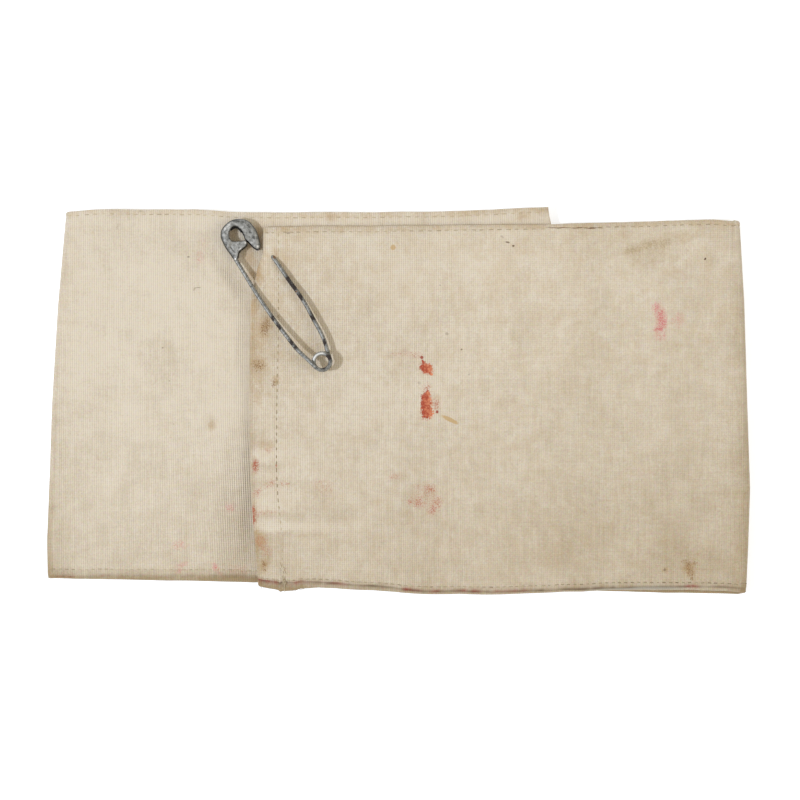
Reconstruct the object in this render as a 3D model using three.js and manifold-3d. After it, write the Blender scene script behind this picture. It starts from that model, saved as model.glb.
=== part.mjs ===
// A cotton armband that lies pressed flat, with an open safety pin through its top layer.
// Millimetres. +X runs along the folded band, +Y across it and +Z up from the surface it lies on.
//
// The band is one strip. It runs from its stitched end on top to the right fold, back along the
// surface to the left fold, and in again between the two other layers, where its other end stops.
import * as THREE from 'three';
import { mergeVertices } from 'three/addons/utils/BufferGeometryUtils.js';
import Module from 'manifold-3d';

// Cloth of the band
const clothWall = 1.0;
const hemWall = 1.5;
const hemWidth = 2.0;
const hemFade = 1.6;
const endHemWidth = 8.2;
const endHemFade = 1.5;

// Outer radius of the rounded folds, and how far each fold reaches from the middle
const rightFoldRadius = 2.05;
const leftFoldRadius = 1.9;
const rightReach = 96.9;
const leftReach = -96.9;
const foldSteps = 8;

// How finely the cloth is divided along the strip and across it
const seenStep = 7.5;
const hiddenStep = 24;
const rowsBetweenHems = 19;

// Steel wire of the pin
const wireDiameter = 1.05;
const wireSides = 8;
const coilRadius = 2.28;
const coilCentre = { x: -20.87, y: 10.75 };
const coilFromDeg = -134;
const coilToDeg = 388;
const coilTopHeight = 7.7;
const coilRise = 1.8;
const coilSteps = 22;
const pointLength = 8;
const pointRadius = 0.14;
const clothClearance = 0.3;
const channelClearance = 0.15;

// Sheet metal cap of the pin
const capThickness = 2.6;
const capSheet = 0.45;
const capRounding = 0.3;
const capCentre = { x: -43.85, y: 44.4, z: 4.98 };

// The layers of the strip, in the order in which it runs. low and high are its long edges, and face
// is the height of its outer side, which is the upper side of the top and middle layers.
const rightFoldX = rightReach - rightFoldRadius;
const leftFoldX = leftReach + leftFoldRadius;
const topLayer = [
  { x: -41.2, low: -50.9, high: 48.0, face: 5.1 },
  { x: -33.0, low: -52.0, high: 48.2, face: 5.1 },
  { x: -22.0, low: -51.3, high: 48.3, face: 5.1 },
  { x: -8.0, low: -52.0, high: 48.4, face: 5.1 },
  { x: 6.0, low: -53.1, high: 48.5, face: 5.1 },
  { x: 28.0, low: -53.2, high: 48.8, face: 5.1 },
  { x: 45.0, low: -52.6, high: 49.0, face: 5.1 },
  { x: 60.0, low: -52.0, high: 49.4, face: 3.5 },
  { x: 80.0, low: -51.9, high: 50.1, face: 3.4 },
  { x: 90.0, low: -52.2, high: 50.2, face: 3.9 },
  { x: rightFoldX, low: -52.7, high: 49.8, face: 2 * rightFoldRadius },
];
const bottomLayer = [
  { x: rightFoldX, low: -53.4, high: 49.5, face: 0 },
  { x: 75.0, low: -52.9, high: 49.3, face: 0 },
  { x: 45.0, low: -52.0, high: 48.5, face: 0 },
  { x: 0.0, low: -50.8, high: 49.8, face: 0 },
  { x: leftFoldX, low: -48.9, high: 52.1, face: 0 },
];
const middleLayer = [
  { x: leftFoldX, low: -48.8, high: 52.3, face: 2 * leftFoldRadius },
  { x: -90.0, low: -48.9, high: 52.6, face: 3.75 },
  { x: -80.0, low: -49.1, high: 52.9, face: 3.35 },
  { x: -58.0, low: -49.4, high: 52.9, face: 3.3 },
  { x: -41.5, low: -49.9, high: 52.4, face: 3.3 },
  { x: -16.0, low: -49.6, high: 52.1, face: 3.3 },
  { x: 8.0, low: -49.2, high: 52.1, face: 3.3 },
  { x: 25.0, low: -48.7, high: 52.7, face: 3.3 },
  { x: 42.4, low: -48.3, high: 53.5, face: 3.3 },
];

// The folds and the stitched end aren't square to the strip: across goes from 0 at the low edge to 1
// at the high edge, and shift is how far that spot lies from the fold's or the end's own place.
const rightLean = [
  { across: 0.0, shift: -1.1 },
  { across: 0.13, shift: -0.5 },
  { across: 0.28, shift: 0.0 },
  { across: 0.52, shift: -0.8 },
  { across: 0.78, shift: -1.6 },
  { across: 1.0, shift: -2.9 },
];
const leftLean = [
  { across: 0.0, shift: 0.2 },
  { across: 0.1, shift: 0.0 },
  { across: 0.3, shift: 0.8 },
  { across: 0.48, shift: 1.4 },
  { across: 0.74, shift: 3.0 },
  { across: 1.0, shift: 5.3 },
];
const endLean = [
  { across: 0.0, shift: 2.6 },
  { across: 0.24, shift: 0.8 },
  { across: 0.5, shift: 0.0 },
  { across: 0.8, shift: 0.4 },
  { across: 0.89, shift: 2.2 },
  { across: 0.93, shift: 3.6 },
  { across: 1.0, shift: 3.6 },
];
const leanStartsAt = 30;
const endLeanReach = 13;

// Soft humps of the cloth: the point of the pin lifts the top layer, and creases run to the pin.
const topHumps = [
  { x: -36.0, y: 42.0, long: 5.0, wide: 5.0, turnDeg: 0, rise: 0.75 },
  { x: -30.0, y: -12.0, long: 16.0, wide: 3.5, turnDeg: 8, rise: 0.35 },
  { x: -27.0, y: -34.0, long: 14.0, wide: 3.5, turnDeg: -6, rise: 0.35 },
  { x: 4.0, y: 22.0, long: 22.0, wide: 6.0, turnDeg: 38, rise: 0.3 },
  { x: 36.0, y: 2.0, long: 5.0, wide: 34.0, turnDeg: 0, rise: 0.35 },
  { x: 68.0, y: -30.0, long: 20.0, wide: 8.0, turnDeg: -12, rise: 0.45 },
  { x: 74.0, y: 24.0, long: 18.0, wide: 9.0, turnDeg: 10, rise: 0.4 },
];
const middleHumps = [
  { x: -70.0, y: 12.0, long: 16.0, wide: 4.0, turnDeg: -42, rise: 0.35 },
  { x: -52.0, y: -36.0, long: 5.0, wide: 16.0, turnDeg: 4, rise: 0.3 },
];
const pucker = { amount: 0.3, spacing: 13, fromY: -46, toY: 12, reach: 7 };

// The wire's two arms, from the cap to the coil and from the coil to the point
const fixedArm = [
  { x: -47.0, y: 43.3, z: 4.98 },
  { x: -45.9, y: 41.1, z: 5.0 },
  { x: -44.5, y: 38.6, z: 5.15 },
  { x: -41.7, y: 34.0, z: 5.8 },
  { x: -38.9, y: 29.4, z: 6.1 },
  { x: -35.6, y: 24.5, z: 6.4 },
  { x: -33.6, y: 21.7, z: 6.6 },
  { x: -30.1, y: 17.1, z: 6.95 },
  { x: -27.5, y: 13.9, z: 7.2 },
  { x: -23.9, y: 10.5, z: 7.6 },
];
const freeArm = [
  { x: -19.5, y: 13.9, z: 6.0 },
  { x: -20.1, y: 16.0, z: 6.15 },
  { x: -21.3, y: 18.8, z: 6.35 },
  { x: -22.9, y: 21.7, z: 6.5 },
  { x: -25.5, y: 26.2, z: 6.65 },
  { x: -27.7, y: 29.4, z: 6.7 },
  { x: -30.1, y: 32.9, z: 6.65 },
  { x: -32.2, y: 36.1, z: 6.35 },
  { x: -34.3, y: 39.2, z: 5.6 },
  { x: -35.7, y: 41.2, z: 4.75 },
  { x: -36.7, y: 42.9, z: 3.95 },
];
const channelSteps = 4;

// A column of a table whose rows are in order of another column, read between the rows
function readTable(rows, key, at, column, ease = (t) => t) {
  for (let i = 1; i < rows.length; i++) {
    const before = rows[i - 1];
    const after = rows[i];
    const t = (at - before[key]) / (after[key] - before[key]);
    if (t <= 1 || i === rows.length - 1) {
      return THREE.MathUtils.lerp(before[column], after[column], ease(THREE.MathUtils.clamp(t, 0, 1)));
    }
  }
  return rows[0][column];
}

const smooth = (t) => t * t * (3 - 2 * t);

// Places along a layer: every row of its table, with even steps between them
function placesAlong(rows, step) {
  const places = [rows[0].x];
  for (let i = 1; i < rows.length; i++) {
    const length = rows[i].x - rows[i - 1].x;
    const steps = Math.ceil(Math.abs(length) / step);
    for (let k = 1; k <= steps; k++) places.push(rows[i - 1].x + (length * k) / steps);
  }
  return places;
}

// One station of the strip: where its outer side is, which way is out, and where its edges are
function station(rows, x, up) {
  return {
    x,
    z: readTable(rows, 'x', x, 'face', smooth),
    out: { x: 0, z: up },
    low: readTable(rows, 'x', x, 'low'),
    high: readTable(rows, 'x', x, 'high'),
    layer: rows,
  };
}

// A rounded fold: half a turn between the ends of two layers
function foldStations(from, to, centreX, radius, side) {
  const stations = [];
  for (let k = 1; k < foldSteps; k++) {
    const t = k / foldSteps;
    const start = side > 0 ? Math.PI / 2 : -Math.PI / 2;
    const angle = start - Math.PI * t;
    const out = { x: Math.cos(angle), z: Math.sin(angle) };
    stations.push({
      x: centreX + radius * out.x,
      z: radius + radius * out.z,
      out,
      low: THREE.MathUtils.lerp(from.low, to.low, t),
      high: THREE.MathUtils.lerp(from.high, to.high, t),
      layer: null,
    });
  }
  return stations;
}

function hump(humps, x, y) {
  let height = 0;
  for (const h of humps) {
    const turn = THREE.MathUtils.degToRad(h.turnDeg);
    const along = (x - h.x) * Math.cos(turn) + (y - h.y) * Math.sin(turn);
    const beside = (y - h.y) * Math.cos(turn) - (x - h.x) * Math.sin(turn);
    height += h.rise * Math.exp(-((along / h.long) ** 2) - (beside / h.wide) ** 2);
  }
  return height;
}

// The stitched end is gathered into small puckers that fade away from it
function puckerHeight(x, y) {
  if (y < pucker.fromY || y > pucker.toY) return 0;
  const middle = Math.sin((Math.PI * (y - pucker.fromY)) / (pucker.toY - pucker.fromY));
  const fade = Math.exp(-(((x - topLayer[0].x) / pucker.reach) ** 2));
  return (pucker.amount * middle * fade * (1 - Math.cos((2 * Math.PI * y) / pucker.spacing))) / 2;
}

function wallAt(stop, across) {
  const width = stop.high - stop.low;
  const fromEdge = Math.min(across, 1 - across) * width;
  const side = 1 - THREE.MathUtils.smoothstep(fromEdge, hemWidth, hemWidth + hemFade);
  let end = 0;
  if (stop.layer === topLayer) {
    const fromEnd = stop.x - topLayer[0].x;
    end = 1 - THREE.MathUtils.smoothstep(fromEnd, endHemWidth, endHemWidth + endHemFade);
  }
  return clothWall + (hemWall - clothWall) * Math.max(side, end);
}

// How far a spot of the strip lies along +X from its station, because the folds and the end lean
function leanAt(stop, across) {
  const right = THREE.MathUtils.smoothstep(stop.x, leanStartsAt, rightFoldX);
  const left = THREE.MathUtils.smoothstep(-stop.x, leanStartsAt, -leftFoldX);
  let shift = right * readTable(rightLean, 'across', across, 'shift');
  shift += left * readTable(leftLean, 'across', across, 'shift');
  if (stop.layer === topLayer) {
    const near = 1 - THREE.MathUtils.clamp((stop.x - topLayer[0].x) / endLeanReach, 0, 1);
    shift += near * readTable(endLean, 'across', across, 'shift');
  }
  return shift;
}

// The strip's outer and inner point at a station, a given part of the way across
function wallPoints(stop, across) {
  const y = THREE.MathUtils.lerp(stop.low, stop.high, across);
  const x = stop.x + leanAt(stop, across);
  let lift = 0;
  if (stop.layer === topLayer) lift = hump(topHumps, x, y) + puckerHeight(x, y);
  if (stop.layer === middleLayer) lift = hump(middleHumps, x, y);
  const wall = wallAt(stop, across);
  const outer = [x, y, stop.z + lift];
  const inner = [x - stop.out.x * wall, y, stop.z + lift - stop.out.z * wall];
  return { outer, inner };
}

function bandGeometry() {
  const topStations = placesAlong(topLayer, seenStep).map((x) => station(topLayer, x, 1));
  const endHemEdge = topLayer[0].x + endHemWidth + endHemFade;
  topStations.push(station(topLayer, endHemEdge, 1));
  topStations.sort((a, b) => a.x - b.x);
  const bottomStations = placesAlong(bottomLayer, hiddenStep).map((x) => station(bottomLayer, x, -1));
  const middleStations = placesAlong(middleLayer, seenStep).map((x) => station(middleLayer, x, 1));
  const stops = [
    ...topStations,
    ...foldStations(topStations.at(-1), bottomStations[0], rightFoldX, rightFoldRadius, 1),
    ...bottomStations,
    ...foldStations(bottomStations.at(-1), middleStations[0], leftFoldX, leftFoldRadius, -1),
    ...middleStations,
  ];

  const width = topLayer[0].high - topLayer[0].low;
  const hemRows = [0, hemWidth / width, (hemWidth + hemFade) / width];
  const rows = [...hemRows];
  const firstInner = hemRows.at(-1);
  for (let k = 1; k <= rowsBetweenHems; k++) {
    rows.push(THREE.MathUtils.lerp(firstInner, 1 - firstInner, k / (rowsBetweenHems + 1)));
  }
  for (const row of [...hemRows].reverse()) rows.push(1 - row);

  const positions = [];
  for (const stop of stops) {
    for (const across of rows) {
      const { outer, inner } = wallPoints(stop, across);
      positions.push(...outer, ...inner);
    }
  }
  const outerAt = (i, j) => 2 * (i * rows.length + j);
  const innerAt = (i, j) => outerAt(i, j) + 1;
  const faces = [];
  const quad = (a, b, c, d) => faces.push(a, b, c, a, c, d);
  const lastStop = stops.length - 1;
  const lastRow = rows.length - 1;
  for (let i = 0; i < lastStop; i++) {
    for (let j = 0; j < lastRow; j++) {
      quad(outerAt(i, j), outerAt(i + 1, j), outerAt(i + 1, j + 1), outerAt(i, j + 1));
      quad(innerAt(i, j), innerAt(i, j + 1), innerAt(i + 1, j + 1), innerAt(i + 1, j));
    }
    quad(innerAt(i, 0), innerAt(i + 1, 0), outerAt(i + 1, 0), outerAt(i, 0));
    quad(outerAt(i, lastRow), outerAt(i + 1, lastRow), innerAt(i + 1, lastRow), innerAt(i, lastRow));
  }
  for (let j = 0; j < lastRow; j++) {
    quad(outerAt(0, j), outerAt(0, j + 1), innerAt(0, j + 1), innerAt(0, j));
    quad(innerAt(lastStop, j), innerAt(lastStop, j + 1), outerAt(lastStop, j + 1), outerAt(lastStop, j));
  }
  const geometry = new THREE.BufferGeometry();
  geometry.setAttribute('position', new THREE.Float32BufferAttribute(positions, 3));
  geometry.setIndex(faces);
  return geometry;
}

// A closed round rod through points, with its own radius at each point
function rodGeometry(points, radii, sides) {
  const curve = new THREE.CatmullRomCurve3(points);
  const tangents = points.map((_, i) => {
    const before = points[Math.max(i - 1, 0)];
    const after = points[Math.min(i + 1, points.length - 1)];
    return after.clone().sub(before).normalize();
  });
  const positions = [];
  const normal = new THREE.Vector3(0, 0, 1).cross(tangents[0]).normalize();
  curve.points.forEach((point, i) => {
    normal.sub(tangents[i].clone().multiplyScalar(normal.dot(tangents[i]))).normalize();
    const binormal = tangents[i].clone().cross(normal);
    for (let k = 0; k < sides; k++) {
      const angle = (2 * Math.PI * k) / sides;
      const spoke = normal.clone().multiplyScalar(Math.cos(angle) * radii[i]);
      spoke.add(binormal.clone().multiplyScalar(Math.sin(angle) * radii[i])).add(point);
      positions.push(spoke.x, spoke.y, spoke.z);
    }
  });
  const faces = [];
  for (let i = 0; i < points.length - 1; i++) {
    for (let k = 0; k < sides; k++) {
      const here = i * sides + k;
      const next = i * sides + ((k + 1) % sides);
      faces.push(here, next, next + sides, here, next + sides, here + sides);
    }
  }
  const first = points.length * sides;
  positions.push(...points[0].toArray(), ...points.at(-1).toArray());
  const lastRing = (points.length - 1) * sides;
  for (let k = 0; k < sides; k++) {
    faces.push(first, (k + 1) % sides, k);
    faces.push(first + 1, lastRing + k, lastRing + ((k + 1) % sides));
  }
  const geometry = new THREE.BufferGeometry();
  geometry.setAttribute('position', new THREE.Float32BufferAttribute(positions, 3));
  geometry.setIndex(faces);
  return geometry;
}

// The wire's middle line: fixed arm, coil that winds down, free arm
function wirePoints() {
  const points = fixedArm.map((p) => new THREE.Vector3(p.x, p.y, p.z));
  for (let k = 0; k <= coilSteps; k++) {
    const t = k / coilSteps;
    const angle = THREE.MathUtils.degToRad(THREE.MathUtils.lerp(coilFromDeg, coilToDeg, t));
    points.push(
      new THREE.Vector3(
        coilCentre.x + coilRadius * Math.cos(angle),
        coilCentre.y + coilRadius * Math.sin(angle),
        coilTopHeight - coilRise * t,
      ),
    );
  }
  freeArm.forEach((p) => points.push(new THREE.Vector3(p.x, p.y, p.z)));
  return points;
}

// The wire's radius at each point: full, and drawn to a point over its last stretch
function wireRadii(points, extra) {
  const radii = points.map(() => wireDiameter / 2 + extra);
  let fromPoint = 0;
  for (let i = points.length - 1; i >= 0; i--) {
    if (i < points.length - 1) fromPoint += points[i].distanceTo(points[i + 1]);
    if (fromPoint > pointLength) break;
    const slim = THREE.MathUtils.lerp(pointRadius, wireDiameter / 2, Math.sqrt(fromPoint / pointLength));
    radii[i] = slim + extra;
  }
  return radii;
}

// The cap seen from above, round its own centre: outer side, pocket's mouth, arch, tongue, crimp
function capShape() {
  const v = (x, y) => new THREE.Vector2(x, y);
  const shape = new THREE.Shape();
  shape.moveTo(-1.72, -6.2);
  shape.splineThru([v(-3.03, -3.86), v(-4.6, -0.83), v(-5.38, 1.1), v(-5.24, 2.76), v(-4.27, 4.27)]);
  shape.splineThru([v(-2.76, 5.51), v(-0.55, 6.15), v(1.65, 5.65), v(3.31, 4.41), v(4.69, 2.07)]);
  shape.splineThru([v(5.62, -0.28), v(5.75, -2.07), v(5.24, -2.89)]);
  shape.splineThru([v(4.0, -2.34), v(2.62, -1.1), v(1.79, 0.14), v(1.1, 1.65), v(0.55, 2.89)]);
  shape.splineThru([v(-0.41, 3.58), v(-1.24, 3.72), v(-2.34, 3.03), v(-2.89, 1.79), v(-2.76, 0.55)]);
  shape.lineTo(-2.1, -0.3);
  shape.lineTo(0.85, -0.2);
  shape.splineThru([v(1.25, -0.45), v(1.3, -1.2)]);
  shape.splineThru([v(0.28, -2.48), v(-0.2, -3.5), v(-0.1, -5.2)]);
  shape.closePath();
  return shape;
}

// The hollow of the cap's right lobe, which takes the point when the pin is closed
function pocketShape() {
  const shape = new THREE.Shape();
  shape.moveTo(0.75, 3.1);
  shape.lineTo(1.7, 4.75);
  shape.lineTo(2.95, 3.85);
  shape.lineTo(4.25, 1.8);
  shape.lineTo(5.15, -0.4);
  shape.lineTo(5.28, -2.0);
  shape.lineTo(5.0, -3.3);
  shape.lineTo(3.85, -2.65);
  shape.lineTo(2.42, -1.3);
  shape.lineTo(1.6, 0.05);
  shape.closePath();
  return shape;
}

// The outline as straight steps, without the point that closes it twice
const curveSegments = 2;
const capOutline = capShape().getPoints(curveSegments);
const separate = capOutline.filter((p, i) => i === 0 || p.distanceTo(capOutline[i - 1]) > 0.01);
if (separate.at(-1).distanceTo(separate[0]) < 0.01) separate.pop();
const capBody = new THREE.ExtrudeGeometry(new THREE.Shape(separate), {
  depth: capThickness - 2 * capRounding,
  steps: 1,
  bevelEnabled: true,
  bevelThickness: capRounding,
  bevelSize: capRounding,
  bevelOffset: -capRounding,
  bevelSegments: 2,
});
capBody.translate(capCentre.x, capCentre.y, capCentre.z - capThickness / 2 + capRounding);
const pocketDepth = capThickness - 2 * capSheet;
const capPocket = new THREE.ExtrudeGeometry(pocketShape(), { depth: pocketDepth, bevelEnabled: false });
capPocket.translate(capCentre.x, capCentre.y, capCentre.z - pocketDepth / 2);

const points = wirePoints();
const wire = rodGeometry(points, wireRadii(points, 0), wireSides);
const clothCut = rodGeometry(points, wireRadii(points, clothClearance), wireSides);
const channelPoints = points.slice(0, channelSteps);
const capCut = rodGeometry(channelPoints, wireRadii(points, channelClearance).slice(0, channelSteps), 12);

const wasm = await Module();
wasm.setup();

function solid(geometry) {
  const bare = geometry.clone();
  bare.deleteAttribute('normal');
  bare.deleteAttribute('uv');
  const merged = mergeVertices(bare);
  const vertProperties = new Float32Array(merged.attributes.position.array);
  const triVerts = new Uint32Array(merged.index.array);
  return new wasm.Manifold(new wasm.Mesh({ numProp: 3, vertProperties, triVerts }));
}

function geometryOf(body) {
  const mesh = body.getMesh();
  const geometry = new THREE.BufferGeometry();
  geometry.setAttribute('position', new THREE.Float32BufferAttribute(mesh.vertProperties, 3));
  geometry.setIndex([...mesh.triVerts]);
  return geometry;
}

function named(name, geometry, colour, roughness, metalness) {
  const material = new THREE.MeshStandardMaterial({ color: colour, roughness, metalness });
  const mesh = new THREE.Mesh(geometry, material);
  mesh.name = name;
  return mesh;
}

const bandBody = solid(bandGeometry()).subtract(solid(clothCut));
const capSolid = solid(capBody).subtract(solid(capPocket)).subtract(solid(capCut));

const armband = new THREE.Group();
armband.add(named('band', geometryOf(bandBody), 0xd8c9a8, 0.95, 0));
armband.add(named('pin_wire', wire, 0x8d9093, 0.45, 0.9));
armband.add(named('pin_cap', geometryOf(capSolid), 0x8d9093, 0.5, 0.9));

// The origin is the middle of the underside
const box = new THREE.Box3().setFromObject(armband);
const middle = box.getCenter(new THREE.Vector3());
armband.position.set(-middle.x, -middle.y, -box.min.z);

export default armband;
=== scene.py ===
import math

import bpy
import numpy as np
from mathutils.geometry import delaunay_2d_cdt
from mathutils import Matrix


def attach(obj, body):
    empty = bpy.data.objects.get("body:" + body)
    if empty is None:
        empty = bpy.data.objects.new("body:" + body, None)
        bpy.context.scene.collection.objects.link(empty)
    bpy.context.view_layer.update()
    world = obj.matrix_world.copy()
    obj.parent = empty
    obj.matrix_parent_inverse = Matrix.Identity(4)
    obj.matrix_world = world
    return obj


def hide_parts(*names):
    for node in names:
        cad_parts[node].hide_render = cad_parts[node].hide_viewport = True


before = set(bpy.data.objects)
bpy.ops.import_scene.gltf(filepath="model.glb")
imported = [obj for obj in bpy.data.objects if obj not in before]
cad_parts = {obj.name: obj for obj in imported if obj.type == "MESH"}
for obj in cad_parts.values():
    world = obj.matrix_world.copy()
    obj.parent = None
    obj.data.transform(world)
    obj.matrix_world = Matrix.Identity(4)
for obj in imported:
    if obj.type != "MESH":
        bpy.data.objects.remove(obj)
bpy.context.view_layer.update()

# The band: one long strip of ribbed cotton, two plies thick, hemmed all round and soiled by use.
# It lies pressed flat as a loop. Its stitched end is on top, and from there it runs to the right
# fold, back underneath to the left fold, and in again between the other two layers.
# Sizes are in millimetres, and new_piece turns them into metres
mm = 0.001
origin_y = -0.05
cloth_wall = 0.75
hem_wall = 1.35
hem_width = 2.6
hem_fade = 1.6
end_hem_width = 8.2
end_hem_fade = 1.5
right_fold_x = 94.85
right_fold_radius = 2.05
left_fold_x = -95.0
left_fold_radius = 1.9
end_a_x = -41.2
end_b_x = 42.4

# Each layer in the order in which the strip runs: x, low edge, high edge, height of the outer face
front_rows = (
    (-41.2, -50.9, 48.0, 5.1),
    (-33.0, -52.0, 48.2, 5.1),
    (-22.0, -51.3, 48.3, 5.1),
    (-8.0, -52.0, 48.4, 5.1),
    (6.0, -53.1, 48.5, 5.1),
    (28.0, -53.2, 48.8, 5.1),
    (45.0, -52.6, 49.0, 5.1),
    (60.0, -52.0, 49.4, 3.5),
    (80.0, -51.9, 50.1, 3.4),
    (90.0, -52.2, 50.2, 3.9),
    (right_fold_x, -52.7, 49.8, 2 * right_fold_radius),
)
back_rows = (
    (right_fold_x, -53.4, 49.5, 0.0),
    (75.0, -52.9, 49.3, 0.0),
    (45.0, -52.0, 48.5, 0.0),
    (0.0, -50.8, 49.8, 0.0),
    (left_fold_x, -48.9, 52.1, 0.0),
)
left_rows = (
    (left_fold_x, -48.8, 52.3, 2 * left_fold_radius),
    (-90.0, -48.9, 52.6, 3.75),
    (-80.0, -49.1, 52.9, 3.35),
    (-58.0, -49.4, 52.75, 3.3),
    (-41.5, -49.9, 51.95, 3.3),
    (-16.0, -49.6, 52.0, 3.3),
    (8.0, -49.2, 52.1, 3.3),
    (25.0, -48.7, 52.7, 3.3),
    (end_b_x, -48.3, 53.5, 3.3),
)

# The folds and the stitched end aren't square to the strip: part of the way across, and shift
right_lean = ((0.0, -1.1), (0.13, -0.5), (0.28, 0.0), (0.52, -0.8), (0.78, -1.6), (1.0, -2.9))
left_lean = ((0.0, 0.2), (0.1, 0.0), (0.3, 0.8), (0.48, 1.4), (0.74, 3.0), (1.0, 5.3))
end_lean = ((0.0, 2.6), (0.24, 0.8), (0.5, 0.0), (0.8, 0.4), (0.89, 2.2), (0.93, 3.6), (1.0, 3.6))
lean_starts_at = 30.0
end_lean_reach = 13.0
under_lean = 0.85
under_lean_reach = 12.0

# Soft humps of the two seen layers: x, y, half length, half width, turn in degrees, rise
front_humps = (
    (-36.0, 42.0, 5.0, 5.0, 0, 0.75),
    (-30.0, -12.0, 16.0, 3.5, 8, 0.35),
    (-27.0, -34.0, 14.0, 3.5, -6, 0.35),
    (4.0, 22.0, 22.0, 6.0, 38, 0.3),
    (36.0, 2.0, 5.0, 34.0, 0, 0.35),
    (68.0, -30.0, 20.0, 8.0, -12, 0.45),
    (74.0, 24.0, 18.0, 9.0, 10, 0.4),
)
left_humps = (
    (-70.0, 12.0, 16.0, 4.0, -42, 0.35),
    (-52.0, -36.0, 5.0, 16.0, 4, 0.3),
)
# Puckers that the end's stitching gathers: y of the ridge, half width, reach along the strip, rise
puckers = (
    (-14.7, 2.4, 7.0, 0.35),
    (-20.2, 1.7, 7.0, 0.4),
    (-27.4, 2.6, 8.0, 0.5),
    (-34.2, 1.9, 22.0, 0.85),
    (-6.0, 2.5, 8.0, 0.25),
    (6.0, 3.0, 7.0, 0.25),
    (22.0, 3.0, 7.0, 0.3),
    (-43.0, 2.4, 9.0, 0.3),
)

# Where the seams run, from the edges: x along the layer, crease of the rolled hem, stitch line
front_low_seam = ((end_a_x, 1.95, 2.6), (-34.5, 2.2, 2.85), (-32.2, 2.6, 3.2), (-30.0, 2.3, 2.9),
                  (-27.0, 2.05, 2.7), (-21.6, 1.5, 2.4), (-5.0, 1.25, 2.2), (6.0, 0.85, 2.1),
                  (30.0, 0.7, 2.1), (61.0, 0.65, 2.1), (72.0, 0.95, 2.1), (right_fold_x, 1.05, 2.1))
left_low_seam = ((left_fold_x, 0.7, 2.6), (-42.0, 1.65, 3.3), (end_b_x, 1.2, 2.6))
front_high_seam = ((end_a_x, 1.65), (0.0, 1.65), (end_b_x, 1.3), (right_fold_x, 1.4))
left_high_seam = ((left_fold_x, 1.35), (-40.0, 1.6), (end_b_x, 1.4))
# The seam across the stitched end: y, and the x that it has there
end_seam = ((-53.0, -31.3), (-45.0, -31.9), (-37.0, -32.0), (-32.0, -32.4), (-26.0, -33.1),
            (-18.0, -33.5), (0.0, -33.4), (20.0, -33.0), (50.0, -33.0))
hem_zone = 6.0


def ease(value, start, end):
    """From 0 at start to 1 at end, with a soft start and a soft end"""
    t = np.clip((value - start) / (end - start), 0, 1)
    return t * t * (3 - 2 * t)


def table_at(rows, value, column=1):
    """A column of a table, at a value of its first column and straight between its rows"""
    rows = sorted(rows)
    return np.interp(value, [r[0] for r in rows], [r[column] for r in rows])


def eased_table_at(rows, value, column):
    """As table_at, with a level start and end of each stretch"""
    rows = sorted(rows)
    places = np.array([r[0] for r in rows])
    heights = np.array([r[column] for r in rows])
    after = np.clip(np.searchsorted(places, value, side="right"), 1, len(rows) - 1)
    t = ease(value, places[after - 1], places[after])
    return heights[after - 1] + (heights[after] - heights[after - 1]) * t


def from_spot(x, y, spot_x, spot_y, long, wide, turn):
    """How far a place lies from a spot's middle, along it and beside it: 1 is on its rim"""
    c, s = math.cos(math.radians(turn)), math.sin(math.radians(turn))
    along = ((x - spot_x) * c + (y - spot_y) * s) / long
    beside = ((y - spot_y) * c - (x - spot_x) * s) / wide
    return along, beside


def soft_spots(rows, x, y):
    """The sum of soft spots: x, y, half length, half width, turn in degrees, strength"""
    total = np.zeros(np.broadcast(x, y).shape)
    for *spot, strength in rows:
        along, beside = from_spot(x, y, *spot)
        total += strength * np.exp(-(along**2) - beside**2)
    return total


def blots(rows, x, y):
    """How far inside a blot a place is: 1 in its middle, 0 on its rim. Columns as in soft_spots,
    and the last one, if there, is the depth in the middle of a faint one"""
    deepest = np.full(np.broadcast(x, y).shape, -1.5)
    for spot_x, spot_y, long, wide, turn, *faint in rows:
        depth = 1 - np.hypot(*from_spot(x, y, spot_x, spot_y, long, wide, turn))
        deepest = np.maximum(deepest, np.minimum(depth, faint[0]) if faint else depth)
    return deepest


def rumple(x, y, size, seed):
    """Smooth random height from -1 to 1, with features about as big as size"""
    cells = 64
    lattice = np.random.default_rng(seed).uniform(-1, 1, (cells, cells))
    gx, gy = np.asarray(x) / size + 31.7, np.asarray(y) / size + 17.3
    ix, iy = np.floor(gx).astype(int), np.floor(gy).astype(int)
    fx, fy = ease(gx - ix, 0, 1), ease(gy - iy, 0, 1)

    def knot(a, b):
        return lattice[(ix + a) % cells, (iy + b) % cells]

    low = knot(0, 0) * (1 - fx) + knot(1, 0) * fx
    high = knot(0, 1) * (1 - fx) + knot(1, 1) * fx
    return low * (1 - fy) + high * fy


def ripples(s, waves):
    """Small uneven waves along a line, added up: height, length, seed of the random heights"""
    return sum(height * rumple(s, 0 * s, length, seed) for height, length, seed in waves)


# The stations of the strip, closer together at its ends, on its seen faces and at the end's seam
rounding = np.array([0.0, 0.06, 0.18, 0.38, 0.7])
front_x = np.concatenate([
    end_a_x + rounding,
    np.arange(end_a_x + 1.2, -36.5, 1.1),
    np.arange(-36.2, -32.4, 0.4),
    np.arange(-31.9, right_fold_x - 0.6, 1.25),
    [right_fold_x],
])
back_x = np.linspace(right_fold_x, left_fold_x, 74)[1:]
left_x = np.concatenate([
    np.arange(left_fold_x + 1.2, -39.0, 1.2),
    np.arange(-38.6, end_b_x - 1.4, 2.2),
    end_b_x - rounding[::-1],
])
turn_angles = np.linspace(0, np.pi, 15)[1:]


def layer_columns(rows, x, up):
    """Columns of the spine for a flat layer: x, z, the way out in x and z, low and high edge"""
    height = eased_table_at(rows, x, 3)
    return np.array([x, height, 0 * x, 0 * x + up, table_at(rows, x, 1), table_at(rows, x, 2)])


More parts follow.
